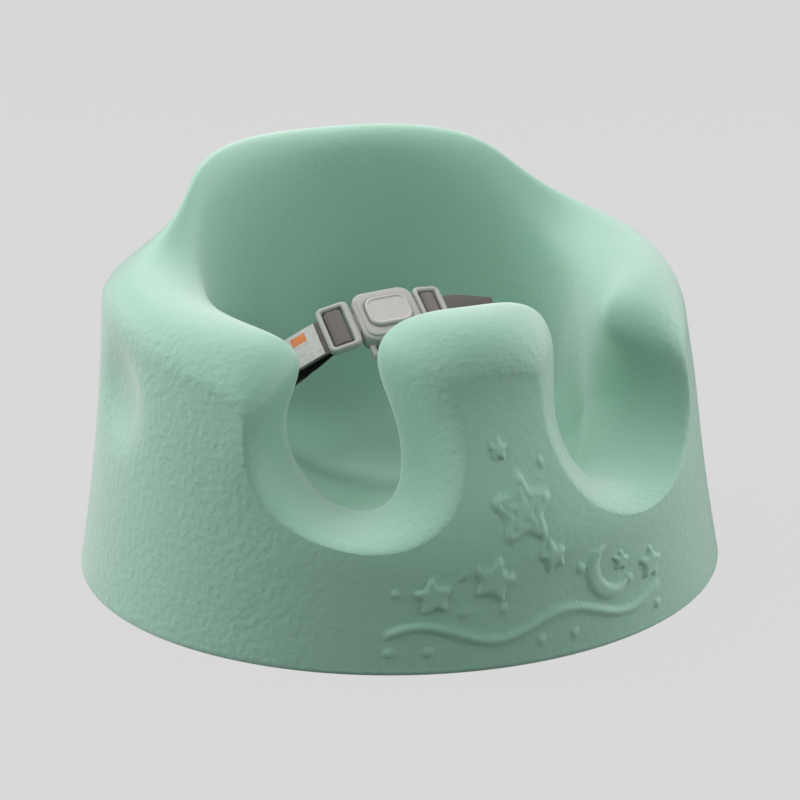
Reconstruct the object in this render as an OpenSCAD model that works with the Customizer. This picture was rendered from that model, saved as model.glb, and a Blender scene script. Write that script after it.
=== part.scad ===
// Baby floor seat: a moulded foam bucket seat with two leg holes, a pommel between
// them and a three-point harness with a press-button buckle.
// Millimetres. The origin is the centre of the base, +Z is up and the front is -Y.

/* [Foam body] */
// Diameter of the base where it meets the floor
base_d = 380; // [360:1:400]
// Diameter that the outer wall flares in to, near the top
waist_d = 336; // [320:1:348]
// Height of the top of the back
back_h = 232; // [222:1:245]
// Height of the arms beside the hips
arm_h = 178; // [170:1:184]
// Height of the pommel
pommel_h = 177; // [168:1:188]
// Height of the lip at the bottom of each leg hole
leg_lip_h = 70; // [66:1:74]
// Height of the sitting surface above the floor
pan_h = 54; // [40:1:58]
// Inside diameter of the bucket
bucket_d = 214; // [200:1:224]
// Radius at the middle of the pommel's top
pommel_r = 106; // [100:1:112]
// Distance that the pommel's front leans back
pommel_lean = 27; // [22:1:30]
// Angle from the front to the side of the pommel's top
pommel_angle = 29; // [25:0.5:31]
// Angle from the front to the tip of each arm
arm_tip_angle = 46; // [43:0.5:50]
// Height of the corner between the base and the wall
base_edge = 2.5; // [1.5:0.5:5]
// Depth of the shallow dish in each side
dish_depth = 8; // [4:0.5:12]
// Height of the middle of the dish
dish_h = 121; // [110:1:130]

/* [Webbing] */
// Width of the webbing
web_w = 25; // [20:1:26]
// Thickness of the webbing
web_t = 1.6; // [1.2:0.1:2]
// Clearance between two layers of webbing and their channel in the foam
web_gap = 0.6; // [0.5:0.1:1]
// Length of the left strap's free end beyond its tongue
tail_l = 27; // [24:1:30]
// Length of the right strap's free end beyond its tongue
right_tail_l = 34; // [28:1:38]
// Length of the blank sewn tag
tag_l = 20; // [14:1:22]
// Width of the blank sewn tag
tag_w = 24; // [18:1:24.5]
// Thickness of the blank sewn tag
tag_t = 0.6; // [0.4:0.1:1]

/* [Anchors] */
// Distance of the two side anchors in from the edge of the base
side_anchor_in = 50; // [46:1:56]
// Height where the side straps leave the foam
side_slot_h = 92; // [88:1:98]
// Distance of the crotch anchor in front of the middle
crotch_anchor_y = 58; // [54:1:62]
// Depth of the pockets in the underside
pocket_depth = 16; // [15:0.5:18]
// Length of each anchor plate
plate_l = 42; // [40:1:46]
// Width of each anchor plate
plate_w = 20; // [18:1:24]
// Thickness of each anchor plate
plate_t = 4; // [3:0.5:5]
// Diameter of each anchor pin
pin_d = 5; // [4:0.5:6]

/* [Buckle] */
// Place of the middle of the buckle's front
buckle_at = [-8, -7.5, 150];
// Angle of the buckle's face above level
buckle_tilt = 31.5; // [28:0.5:35]
// Rise of the buckle towards the right
buckle_rise = 4.5; // [2:0.5:7]
// Turn of the buckle about the upright
buckle_yaw = -3.5; // [-6:0.5:0]
// Length of the buckle between the tongues
buckle_l = 36.7; // [35:0.1:39]
// Width of the buckle along the crotch strap
buckle_w = 36.9; // [36:0.1:40]
// Wall thickness of the shells
shell_wall = 1.8; // [1.4:0.1:2.2]
// Corner radius of the shells
shell_corner = 8; // [5:0.5:9]
// Length of the release button
button_l = 26; // [24:0.5:27]
// Width of the release button
button_w = 21; // [20:0.5:23]
// Height of the button above the front shell
button_proud = 2.2; // [2:0.1:3]
// Travel of the release button
button_travel = 2; // [1.8:0.1:2]
// Running clearance between moving pieces
running_gap = 0.3; // [0.2:0.05:0.4]
// Coil diameter of the button's spring
spring_d = 7; // [6.4:0.1:7.4]
// Wire diameter of the button's spring
spring_wire_d = 0.8; // [0.5:0.1:0.9]

/* [Tongues] */
// Downward bend of the left tongue
left_bend = 13.5; // [10:0.5:16]
// Downward bend of the right tongue
right_bend = 9; // [6:0.5:12]
// Length of the left tongue's window
left_window = 12.7; // [12:0.1:14]
// Length of the right tongue's window
right_window = 11; // [10.8:0.1:12]
// Length of the left tongue between the buckle and its window
left_neck = 4.1; // [3.5:0.1:5]
// Length of the right tongue between the buckle and its window
right_neck = 2.8; // [2.5:0.1:4]
// Width of the rails round the windows
tongue_rail = 3.1; // [2.5:0.1:4]
// Thickness of the tongue frames
tongue_t = 5; // [4:0.5:5]
// Thickness of the flat bar that the webbing goes round
bar_t = 3; // [2.8:0.1:3.2]
// Width of the tab inside the buckle
tab_w = 14; // [12:0.5:14]
// Thickness of the tab
tab_t = 2; // [1.6:0.1:2]

/* [Hidden] */
$fn = 32;

foam_colour = [0.62, 0.78, 0.71];
plastic_colour = [0.78, 0.77, 0.75];
grey_web_colour = [0.42, 0.41, 0.39];
tag_colour = [0.9, 0.9, 0.88];
plate_colour = [0.2, 0.2, 0.21];
steel_colour = [0.7, 0.71, 0.73];

// ---- Foam body -------------------------------------------------------------
base_r = base_d / 2;
waist_r = waist_d / 2;
bucket_r = bucket_d / 2;
rim_steps = 3;      // points between two stations of the rim
wall_steps = 8;     // points up the outer wall
outer_steps = 6;    // points over the outside of the rim
inner_steps = 5;    // points over the inside of the rim
bowl_steps = 7;     // points down the bucket and across the pan

// Half of the rim, from the middle of the pommel to the middle of the back. Each station has:
// foot angle, rim angle, rim height, shoulder angle, shoulder height, rim radius, bucket
// radius, lean of the wall, height where the lean starts and ends, roundness at the
// shoulder and roundness at the rim.
pa = pommel_angle;
ta = arm_tip_angle;
tip_h = arm_h - 29;
pl = pommel_lean;
pl_low = 55;        // height where the pommel starts to lean back
pl_high = 150;      // height where it stops
lip_drop = 11;      // least drop from the rim to the bucket's edge
stations = [
    // pommel, from its middle round its left or right side to its neck
    [0, 0, pommel_h, 0, pommel_h - 30, pommel_r + 2, 84, pl, pl_low, pl_high, 0.55, 0.55],
    [2.5, 8, pommel_h, 4.5, pommel_h - 30, pommel_r + 1, 84, pl, pl_low, pl_high, 0.5, 0.5],
    [5, pa - 11, pommel_h - 3, 7.5, pommel_h - 31, pommel_r - 1, 84, pl, pl_low, pl_high, 0.42, 0.35],
    [6.5, pa - 3, pommel_h - 11, 8.5, pommel_h - 34, pommel_r - 1, 85, pl, pl_low, pl_high, 0.32, 0.2],
    [8, pa, pommel_h - 25, 8.5, pommel_h - 41, pommel_r - 1, 87, pl, pl_low, pl_high, 0.27, 0.12],
    [9, pa - 2, pommel_h - 41, 8, pommel_h - 53, pommel_r, 90, pl, pl_low, pl_high, 0.25, 0.1],
    [11, pa - 7, pommel_h - 61, 8.5, pommel_h - 72, pommel_r + 7, 94, pl, pl_low, pl_high, 0.25, 0.1],
    // leg hole, from the pommel's flare round its bottom and up its outer side
    [15.5, 21, leg_lip_h + 19, 12, leg_lip_h + 9, 128, 98, pl, pl_low, pl_high, 0.3, 0.2],
    [23, 26, leg_lip_h + 3, 20.5, leg_lip_h - 6, 147, 105, pl, pl_low, pl_high, 0.45, 0.4],
    [34, 33, leg_lip_h, 30, leg_lip_h - 7, 154, bucket_r + 3, 0.75 * pl, pl_low, pl_high, 0.5, 0.5],
    [45, 40, leg_lip_h + 7, 40, leg_lip_h + 1, 155, bucket_r + 5, 0.37 * pl, pl_low, pl_high, 0.5, 0.5],
    [56, ta + 0.5, leg_lip_h + 24, ta + 2.5, leg_lip_h + 17, 152, bucket_r + 5, 2, 55, 150, 0.5, 0.45],
    [64, ta + 3, tip_h - 33, ta + 5, tip_h - 39, 149, bucket_r + 3, 0, 60, 155, 0.5, 0.4],
    // tip of the arm
    [68, ta + 1.5, tip_h - 14, ta + 5, tip_h - 22, 139, bucket_r + 2, 2, 80, 165, 0.45, 0.35],
    [70, ta, tip_h, ta + 6.5, tip_h - 12, 127, bucket_r + 1, 4, 90, 170, 0.42, 0.35],
    [72, ta + 4, tip_h + 14, ta + 11.5, tip_h - 6, 125, bucket_r, 5, 100, 172, 0.45, 0.42],
    // arm
    [75, ta + 14, arm_h - 9, ta + 20, arm_h - 31, 132, bucket_r, 5, 110, 175, 0.55, 0.55],
    [80, 72, arm_h - 5, 75, arm_h - 29, 140, bucket_r, 3, 120, 178, 0.62, 0.62],
    [88, 86, arm_h, 87, arm_h - 25, 144, bucket_r + 1, 1, 140, 184, 0.66, 0.66],
    [98, 98, arm_h + 6, 98, arm_h - 20, 142, bucket_r + 2, 2, 155, 192, 0.66, 0.66],
    [108, 106, arm_h + 13, 107, arm_h - 13, 135, bucket_r + 3, 16, 160, 200, 0.62, 0.62],
    // wing of the back
    [118, 113, back_h - 31, 116, back_h - 54, 127, bucket_r + 4, 36, 160, 206, 0.58, 0.58],
    [128, 121, back_h - 20, 126, back_h - 41, 122, bucket_r + 4, 41, 150, 212, 0.55, 0.55],
    [139, 131, back_h - 7, 135, back_h - 30, 121, bucket_r + 4, 40, 125, 218, 0.55, 0.55],
    // back
    [151, 145, back_h - 1.5, 147, back_h - 24, 123, bucket_r + 4, 34, 90, 223, 0.55, 0.55],
    [165, 162, back_h, 163, back_h - 20, 125, bucket_r + 4, 28, 70, 230, 0.55, 0.55],
    [180, 180, back_h - 1, 180, back_h - 19, 126, bucket_r + 4, 26, 60, 230, 0.55, 0.55]
];
last = len(stations) - 1;
ring_count = 2 * last;

// A station by its number round the whole rim; the far half is the near half mirrored
function mirrored(row) = [for (c = [0:11]) c == 0 || c == 1 || c == 3 ? 360 - row[c] : row[c]];
function ring_row(i) = i <= last ? stations[i] : mirrored(stations[ring_count - i]);
function turned(row, turns) =
    [for (c = [0:11]) c == 0 || c == 1 || c == 3 ? row[c] + 360 * turns : row[c]];
function station(i) = turned(ring_row((i + ring_count) % ring_count),
    floor(i / ring_count));
// Smooth curve through the rows of numbers round the rim
function rim_at(u) =
    let (i = floor(u), t = u - i)
    (station(i - 1) * pow(1 - t, 3) + station(i) * (3 * t * t * t - 6 * t * t + 4)
        + station(i + 1) * (3 * t + 3 * t * t - 3 * t * t * t + 1) + station(i + 2) * t * t * t) / 6;
// Cubic curve with two end values and two handles
function curve(p, q, r, s, t) = p * pow(1 - t, 3) + 3 * q * pow(1 - t, 2) * t
    + 3 * r * (1 - t) * t * t + s * t * t * t;
function clamp01(x) = max(0, min(1, x));
function ease(x) = x * x * (3 - 2 * x);
// Depth of the dish in the side of the wall
function side_angle(a) = abs((a + 180) % 360 - 180);
function dish(a, z) =
    let (q = pow((side_angle(a) - 88) / 9, 2) + pow((z - dish_h) / 25, 2))
    dish_depth * exp(-pow(q, 1.4));
// Radius of the outer wall: a cone that flares to the base and leans in near the rim
function wall_r(a, z, lean, z1, z2) =
    waist_r + (base_r - waist_r) * pow(1 - clamp01(z / 230), 2)
    - lean * ease(clamp01((z - z1) / (z2 - z1))) - dish(a, z);
function polar(r, a, z) = [r * sin(a), -r * cos(a), z];

// One section of the body, from the base up the wall, over the rim and down to the pan
function section(row) =
    let (
        foot = row[0], a = row[1], z = row[2], sa = row[3], sz = row[4], rim_r = row[5],
        in_r = row[6], lean = row[7], z1 = row[8], z2 = row[9], k1 = row[10], k2 = row[11],
        da = a - sa, dz = z - sz, reach = norm([2.8 * da, dz]),
        handle = 6 + 0.3 * (sz - base_edge) * pow(dz / reach, 2),
        bend = foot < 180 ? min(da / reach * handle, sa / 2)
            : max(da / reach * handle, (sa - 360) / 2),
        d = sz - pan_h - 4,
        in_z = min(pan_h + 4 + (d + sqrt(d * d + 100)) / 2, z - lip_drop),
        bowl = in_z - pan_h
    )
    concat(
        [polar((base_r - base_edge) / 2, foot, 0), polar(base_r - base_edge, foot, 0)],
        [for (t = [1/3, 2/3, 1]) polar(base_r - base_edge * (1 - sin(90 * t))
            - 0.19 * base_edge * (1 - cos(90 * t)), foot, base_edge * (1 - cos(90 * t)))],
        [for (i = [1:wall_steps]) let (
            t = i / wall_steps,
            wa = curve(foot, foot, sa - bend, sa, t),
            wz = curve(base_edge, base_edge + 0.35 * (sz - base_edge),
                sz - dz / reach * handle, sz, t))
            polar(wall_r(wa, wz, lean, z1, z2), wa, wz)],
        [for (i = [1:outer_steps]) let (
            t = i / outer_steps,
            wa = curve(sa, sa + da * k1, a, a, t),
            wz = curve(sz, sz + dz * k1, z, z, t),
            c = curve(1, 1, k2, 0, t))
            polar(rim_r + (wall_r(wa, wz, lean, z1, z2) - rim_r) * c, wa, wz)],
        [for (i = [1:inner_steps]) let (
            t = i / inner_steps,
            wa = curve(a, a, (a + foot) / 2, foot, t),
            wz = curve(z, z, (z + in_z) / 2, in_z, t),
            c = curve(0, 0.5, 1, 1, t))
            polar(rim_r + (in_r - rim_r) * c, wa, wz)],
        [for (i = [1:bowl_steps - 1]) let (t = i / bowl_steps)
            polar(curve(in_r, in_r, 0.68 * in_r, 0, t), foot,
                curve(in_z, in_z - 0.75 * bowl, pan_h, pan_h, t))]
    );

ring_n = ring_count * rim_steps;
sections = [for (i = [0:ring_n - 1]) section(rim_at(i / rim_steps))];
rows_n = len(sections[0]);
function grid_index(i, j) = 1 + (i % ring_n) * rows_n + j;
foam_points = concat([[0, 0, 0]], [for (s = sections) each s], [[0, 0, pan_h]]);
foam_faces = [for (i = [0:ring_n - 1]) each concat(
    [[0, grid_index(i, 0), grid_index(i + 1, 0)]],
    [for (j = [0:rows_n - 2]) each [
        [grid_index(i, j), grid_index(i + 1, j + 1), grid_index(i + 1, j)],
        [grid_index(i, j), grid_index(i, j + 1), grid_index(i + 1, j + 1)]]],
    [[len(foam_points) - 1, grid_index(i + 1, rows_n - 1), grid_index(i, rows_n - 1)]])];

// ---- Anchors and channels ----------------------------------------------------
layer_gap = 0.3;                               // between two layers of webbing
layer_off = (web_t + layer_gap) / 2;           // each layer from the middle of its channel
channel_w = web_w + 4 * web_gap;
channel_t = 2 * web_t + layer_gap + 2 * web_gap;
plate_gap = 1;                                 // round each plate in its pocket
pocket_l = plate_l + 2 * plate_gap;
pocket_w = plate_w + 2 * plate_gap;
pin_loop = pin_d / 2 + layer_gap + web_t / 2;  // middle of the webbing round a pin
pin_z = pocket_depth - plate_t - pin_loop - web_t / 2 - 0.2;
slot_in = 12;                                  // slots inside the bucket's widest part
slot_x = bucket_r - slot_in;                   // where the side straps leave the foam
slot_past = 14;                                // length of each channel's cut past its mouth
side_anchor_x = base_d / 2 - side_anchor_in;
channel_lean = atan2(side_anchor_x - slot_x, side_slot_h - pocket_depth);
channel_l = norm([side_anchor_x - slot_x, side_slot_h - pocket_depth]);
crotch_slot_h = pan_h + 14;                    // where the crotch strap leaves the foam
sewn_l = 12;                                   // length of webbing sewn back on itself

// Cut for one anchor: a pocket with the webbing's channel above it
module anchor_cut(lean, length) {
    translate([-pocket_w / 2, -pocket_l / 2, -1]) cube([pocket_w, pocket_l, pocket_depth + 1]);
    translate([0, 0, pocket_depth]) rotate([0, -lean, 0])
        translate([-channel_t / 2, -channel_w / 2, -3]) cube([channel_t, channel_w, length + 3]);
}
module at_right() { translate([side_anchor_x, 0, 0]) children(); }
module at_left() { mirror([1, 0, 0]) at_right() children(); }
module at_crotch() { translate([0, -crotch_anchor_y, 0]) rotate([0, 0, 90]) children(); }

module foam_body() color(foam_colour) difference() {
    polyhedron(points = foam_points, faces = foam_faces, convexity = 8);
    at_left() anchor_cut(channel_lean, channel_l + slot_past);
    at_right() anchor_cut(channel_lean, channel_l + slot_past);
    at_crotch() anchor_cut(0, crotch_slot_h - pocket_depth + slot_past);
}

// Slotted plate with a lug at each end that the pin sits in
module anchor_plate() {
    lug = (plate_l - channel_w) / 2 - 0.6;
    difference() {
        union() {
            translate([-plate_w / 2, -plate_l / 2, pocket_depth - plate_t])
                cube([plate_w, plate_l, plate_t]);
            for (side = [-1, 1]) translate([-pin_d, side * (plate_l - lug) / 2 - lug / 2, pin_z])
                cube([2 * pin_d, lug, pocket_depth - plate_t / 2 - pin_z]);
        }
        translate([-channel_t / 2 - 1, -channel_w / 2, 0])
            cube([channel_t + 2, channel_w, pocket_depth + 1]);
        translate([0, plate_l / 2 + 1, pin_z]) rotate([90, 0, 0])
            cylinder(d = pin_d + 0.1, h = plate_l + 2);
    }
}
module anchor_pin() {
    translate([0, plate_l / 2, pin_z]) rotate([90, 0, 0]) cylinder(d = pin_d, h = plate_l);
}
module left_anchor_plate() color(plate_colour) at_left() anchor_plate();
module right_anchor_plate() color(plate_colour) at_right() anchor_plate();
module crotch_anchor_plate() color(plate_colour) at_crotch() anchor_plate();
module left_anchor_pin() color(steel_colour) at_left() anchor_pin();
module right_anchor_pin() color(steel_colour) at_right() anchor_pin();
module crotch_anchor_pin() color(steel_colour) at_crotch() anchor_pin();

// ---- Buckle ------------------------------------------------------------------
// In the buckle's own frame x runs to the right, y up its face and z out of its face.
function turn_x(a) = [[1, 0, 0], [0, cos(a), -sin(a)], [0, sin(a), cos(a)]];
function turn_y(a) = [[cos(a), 0, sin(a)], [0, 1, 0], [-sin(a), 0, cos(a)]];
function turn_z(a) = [[cos(a), -sin(a), 0], [sin(a), cos(a), 0], [0, 0, 1]];
buckle_turn = turn_z(buckle_yaw) * turn_y(-buckle_rise) * turn_x(buckle_tilt);
function on_buckle(p) = buckle_at + buckle_turn * p;
module at_buckle() translate(buckle_at) rotate([0, -buckle_rise, buckle_yaw])
    rotate([buckle_tilt, 0, 0]) children();

flange_t = 0.8;
flange_out = 1.2;                            // reach of the button's flange under the roof
leaf_t = 0.6;
leaf_gap = 1;                                // between the tab and the catch's leaf
front_shell_t = shell_wall + flange_t + button_travel + 2 * running_gap + tab_t / 2;
back_shell_t = tab_t / 2 + leaf_gap + leaf_t + button_travel + 0.1 + shell_wall;
split_z = -front_shell_t;                    // where the two shells meet
floor_z = split_z - back_shell_t + shell_wall;
roof_z = -shell_wall;
step_h = 1.6;                                // height of the front shell's raised middle
step_in = 1.9;                               // inset of the front shell's raised middle
flange_z = roof_z - running_gap - flange_t;
tab_l = 12;                                  // reach of the tab into the buckle
tab_end = buckle_l / 2 - tab_l;
catch_bar = 2.6;                             // bar at the end of the tab that the catch holds
catch_w = 8;                                 // width of the window in the tab
catch_l = 5.5;                               // length of the window in the tab
post_r = 2;                                  // posts that join the two shells
post_in = shell_wall + post_r + 0.5;         // distance of the posts inside the edges
post_x = buckle_l / 2 - post_in;
post_y = buckle_w / 2 - post_in;
foot_w = 2;                                  // width of the button's feet
foot_in = tab_w / 2 + 1;                     // distance of the feet from the middle
leaf_top = split_z - tab_t / 2 - leaf_gap;
spring_post_d = spring_d - spring_wire_d - 1.2;
hook_x = tab_end + catch_bar + running_gap;
loop_bar_d = 3.6;                            // bar that the crotch strap goes round
loop_lug_d = loop_bar_d + 1.4;
loop_lug = 3;                                // thickness of the lugs at the ends of the bar
loop_bar_y = -buckle_w / 2 - web_t - 2 * layer_gap - loop_bar_d / 2 - 0.9;
loop_bar_z = split_z - loop_lug_d / 2 - 0.1;
loop_window = web_w + 2;

// Rounded rectangle, extruded
module rounded(l, w, h, r) linear_extrude(height = h) {
    square([l - 2 * r, w], center = true);
    square([l, w - 2 * r], center = true);
    for (x = [-1, 1], y = [-1, 1]) translate([x * (l / 2 - r), y * (w / 2 - r)]) circle(r = r);
}
// Openings for the two tabs in the sides of the shells
module tab_openings() {
    translate([-buckle_l, -tab_w / 2 - running_gap, split_z - tab_t / 2 - running_gap])
        cube([2 * buckle_l, tab_w + 2 * running_gap, tab_t + 2 * running_gap]);
}

module buckle_back_shell() color(plastic_colour) at_buckle() {
    difference() {
        translate([0, 0, split_z - back_shell_t])
            rounded(buckle_l, buckle_w, back_shell_t, shell_corner);
        translate([0, 0, floor_z])
            rounded(buckle_l - 2 * shell_wall, buckle_w - 2 * shell_wall, back_shell_t,
                shell_corner - shell_wall);
        tab_openings();
    }
    for (x = [-1, 1], y = [-1, 1]) translate([x * post_x, y * post_y, floor_z - 0.5])
        difference() {
            cylinder(r = post_r, h = split_z - floor_z + 0.5);
            translate([0, 0, 1.5]) cylinder(r = post_r - 0.9, h = back_shell_t);
        }
    translate([0, 0, floor_z - 0.5]) cylinder(d = spring_post_d, h = 3);
    // loop for the crotch strap
    for (side = [-1, 1]) translate([side * (loop_window + loop_lug) / 2, 0, 0])
        rotate([0, 90, 0]) translate([0, 0, -loop_lug / 2]) {
            translate([-loop_bar_z, loop_bar_y, 0]) cylinder(d = loop_lug_d, h = loop_lug);
            translate([-loop_bar_z - loop_lug_d / 2, loop_bar_y, 0])
                cube([loop_lug_d, -buckle_w / 2 + 1 - loop_bar_y, loop_lug]);
        }
    translate([-loop_window / 2 - 1, loop_bar_y, loop_bar_z]) rotate([0, 90, 0])
        cylinder(d = loop_bar_d, h = loop_window + 2);
}

module buckle_front_shell() color(plastic_colour) at_buckle() {
    difference() {
        union() {
            translate([0, 0, split_z])
                rounded(buckle_l, buckle_w, front_shell_t - step_h, shell_corner);
            translate([0, 0, -step_h - 0.5])
                rounded(buckle_l - 2 * step_in, buckle_w - 2 * step_in, step_h + 0.5,
                    shell_corner - step_in);
        }
        translate([0, 0, split_z - 1])
            rounded(buckle_l - 2 * shell_wall - 2, buckle_w - 2 * shell_wall - 2,
                roof_z - split_z + 1, shell_corner - shell_wall - 1);
        translate([0, 0, -front_shell_t])
            rounded(button_l + 2 * running_gap, button_w + 2 * running_gap,
                front_shell_t + 1, button_corner + running_gap);
        tab_openings();
    }
    for (x = [-1, 1], y = [-1, 1]) translate([x * post_x, y * post_y, split_z - 2])
        cylinder(r = post_r - 1, h = roof_z - split_z + 2.5);
}

button_corner = 6.5;
button_rim = 1.7;                            // raised rim round the button's face
module release_button() color(plastic_colour) at_buckle() {
    difference() {
        union() {
            translate([0, 0, flange_z])
                rounded(button_l, button_w, button_proud - flange_z, button_corner);
            translate([0, 0, flange_z])
                rounded(button_l + 2 * flange_out, button_w + 2 * flange_out, flange_t,
                    button_corner + flange_out);
        }
        translate([0, 0, button_proud - 0.5])
            rounded(button_l - 2 * button_rim, button_w - 2 * button_rim, 1,
                button_corner - button_rim);
        translate([0, 0, flange_z - 1])
            rounded(button_l - 4, button_w - 4, button_proud - flange_z - 1, button_corner - 2);
    }
    translate([0, 0, flange_z - 2.4])
        cylinder(d = spring_post_d, h = button_proud - flange_z);
    translate([0, 0, flange_z])
        cylinder(d = spring_d + 2, h = button_proud - flange_z - 1);
    // feet that press the catches down
    for (x = [-1, 1], y = [-1, 1])
        translate([x * (hook_x + 1.9) - 1, y * (foot_in + foot_w / 2) - foot_w / 2,
            leaf_top + running_gap])
            cube([2, foot_w, flange_z + flange_t / 2 - leaf_top]);
}

// Sprung catch: a leaf fixed to the back shell with a hook that holds the tab
module catch_leaf() {
    root_x = spring_d / 2 + spring_wire_d / 2 + 0.9;
    translate([root_x, -catch_w / 2, floor_z]) cube([1.2, catch_w, leaf_top - floor_z]);
    translate([root_x, -catch_w / 2, leaf_top - leaf_t])
        cube([hook_x + 3.6 - root_x, catch_w, leaf_t]);
    translate([hook_x + 0.9, -foot_in - foot_w, leaf_top - leaf_t])
        cube([2, 2 * (foot_in + foot_w), leaf_t]);
    translate([hook_x, -catch_w / 2 + 0.4, leaf_top - 0.1])
        cube([1.6, catch_w - 0.8, split_z + tab_t / 2 - 0.4 - leaf_top + 0.1]);
}
module left_catch_spring() color(steel_colour) at_buckle() mirror([1, 0, 0]) catch_leaf();
module right_catch_spring() color(steel_colour) at_buckle() catch_leaf();

// Coil spring between the back shell and the button
coil_turns = 5;
coil_steps = 14;     // stations in one turn
coil_sides = 6;
coil_low = floor_z + spring_wire_d / 2 + 0.12;
coil_high = flange_z - spring_wire_d / 2 - 0.12;
function coil_z(t) = coil_low + (coil_high - coil_low) * t / coil_turns;
module button_spring() color(steel_colour) at_buckle() {
    count = coil_turns * coil_steps;
    pts = [for (i = [0:count]) for (k = [0:coil_sides - 1])
        let (a = 360 * i / coil_steps, b = 360 * k / coil_sides,
            r = spring_d / 2 + spring_wire_d / 2 * cos(b))
        [r * cos(a), r * sin(a), coil_z(i / coil_steps) + spring_wire_d / 2 * sin(b)]];
    faces = concat([[for (k = [coil_sides - 1:-1:0]) k]],
        [for (i = [0:count - 1]) for (k = [0:coil_sides - 1])
            let (m = (k + 1) % coil_sides, a = i * coil_sides, b = a + coil_sides)
            each [[a + k, b + m, b + k], [a + k, a + m, b + m]]],
        [[for (k = [0:coil_sides - 1]) count * coil_sides + k]]);
    polyhedron(points = pts, faces = faces, convexity = 10);
}

// ---- Tongues -----------------------------------------------------------------
// In a tongue's own frame x runs out of the buckle from its hinge line and z out of its face.
hinge_x = buckle_l / 2 + 1.2;
frame_low = -1.3;                                // underside of the frame in its own frame
window_w = web_w + 2.6;
bar_z = -0.3;
bar_loop = bar_t / 2 + layer_gap + web_t / 2;    // middle of the webbing round the bar's edges
function frame_l(neck, window) = neck + window + tongue_rail;
function bar_x(neck, window) = neck + window / 2;
function bar_width(window) = window - 2 * (layer_gap + web_t) - 0.9;

module tongue(neck, window, bend) {
    bar_w = bar_width(window);
    w = window_w + 2 * tongue_rail;
    corner = 4;
    // tab inside the buckle
    difference() {
        translate([tab_end, -tab_w / 2, split_z - tab_t / 2])
            cube([hinge_x + 2 - tab_end, tab_w, tab_t]);
        translate([tab_end + catch_bar, -catch_w / 2, split_z - tab_t])
            cube([catch_l, catch_w, 2 * tab_t]);
    }
    // frame with its window and bar
    translate([hinge_x, 0, split_z]) rotate([0, bend, 0]) {
        difference() {
            translate([frame_l(neck, window) / 2, 0, frame_low])
                rounded(frame_l(neck, window), w, tongue_t, corner);
            translate([neck + window / 2, 0, frame_low - 1])
                rounded(window, window_w, tongue_t + 2, 1.2);
        }
        translate([bar_x(neck, window), window_w / 2 + 1, bar_z]) rotate([90, 0, 0]) {
            for (side = [-1, 1]) translate([side * (bar_w - bar_t) / 2, 0, 0])
                cylinder(d = bar_t, h = window_w + 2);
            translate([-(bar_w - bar_t) / 2, -bar_t / 2, 0])
                cube([bar_w - bar_t, bar_t, window_w + 2]);
        }
    }
}
module left_tongue() color(plastic_colour) at_buckle() mirror([1, 0, 0])
    tongue(left_neck, left_window, left_bend);
module right_tongue() color(plastic_colour) at_buckle()
    tongue(right_neck, right_window, right_bend);

// ---- Webbing -----------------------------------------------------------------
// Each strap is a list of stations, each with the middle of the webbing and the way its
// width runs. A smooth curve joins the stations.
strap_steps = 4;     // points between two stations
function unit(v) = v / norm(v);
function heading(s, i) =
    let (a = s[max(0, i - 1)][0], b = s[i][0], c = s[min(len(s) - 1, i + 1)][0])
    (c - a) / (norm(c - b) + norm(b - a));
function strap_line(s) = [for (i = [0:len(s) - 2]) for (k = [0:strap_steps - 1])
        strap_at(s, i, k / strap_steps), strap_at(s, len(s) - 2, 1)];
function strap_at(s, i, t) =
    let (p = s[i][0], q = s[i + 1][0], h = norm(q - p), u = heading(s, i), v = heading(s, i + 1),
        place = p * (1 + 2 * t) * pow(1 - t, 2) + u * h * t * pow(1 - t, 2)
            + q * t * t * (3 - 2 * t) + v * h * t * t * (t - 1),
        along = unit((q - p) * 6 * t * (1 - t) + u * h * (1 - t) * (1 - 3 * t)
            + v * h * t * (3 * t - 2)),
        across = s[i][1] * (1 - ease(t)) + s[i + 1][1] * ease(t),
        side = unit(across - along * (across * along)))
    [place, side, cross(along, side)];
// Solid strip along a line; lift moves it off the line across its thickness
module strip(line, w, t, lift = 0) {
    pts = [for (s = line) each [
        s[0] - s[1] * w / 2 + s[2] * (lift - t / 2), s[0] + s[1] * w / 2 + s[2] * (lift - t / 2),
        s[0] + s[1] * w / 2 + s[2] * (lift + t / 2), s[0] - s[1] * w / 2 + s[2] * (lift + t / 2)]];
    n = len(line);
    faces = concat([[0, 1, 2], [0, 2, 3]],
        [for (i = [0:n - 2]) for (k = [0:3]) let (m = (k + 1) % 4)
            each [[4 * i + k, 4 * i + 4 + k, 4 * i + 4 + m], [4 * i + k, 4 * i + 4 + m, 4 * i + m]]],
        [[4 * n - 1, 4 * n - 2, 4 * n - 3], [4 * n - 1, 4 * n - 3, 4 * n - 4]]);
    polyhedron(points = pts, faces = faces, convexity = 10);
}

// Stations round an anchor pin and up its channel, in the anchor's frame: x is the way the
// channel leans away from and z is up. They start at the end that is sewn back.
function anchor_run(lean, length) =
    let (up = [-sin(lean), cos(lean)], out = [cos(lean), sin(lean)], top = [0, pocket_depth])
    concat([top + up * (sewn_l + 3) + out * layer_off, top + up * 3 + out * layer_off,
        [layer_off + 0.6, pocket_depth - plate_t / 2]],
        [for (a = [20:-40:-220]) [0, pin_z] + pin_loop * [cos(a), sin(a)]],
        [[-layer_off - 0.6, pocket_depth - plate_t / 2], top + up * 3 - out * layer_off],
        [for (t = [0.5, 1]) top + up * length * t - out * layer_off * (1 - 0.5 * t)]);
// A point of a tongue in the shared frame
function on_tongue(side, bend, p) = on_buckle([side * (hinge_x + p.x * cos(bend) + p.y * sin(bend)),
    0, split_z - p.x * sin(bend) + p.y * cos(bend)]);
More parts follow.
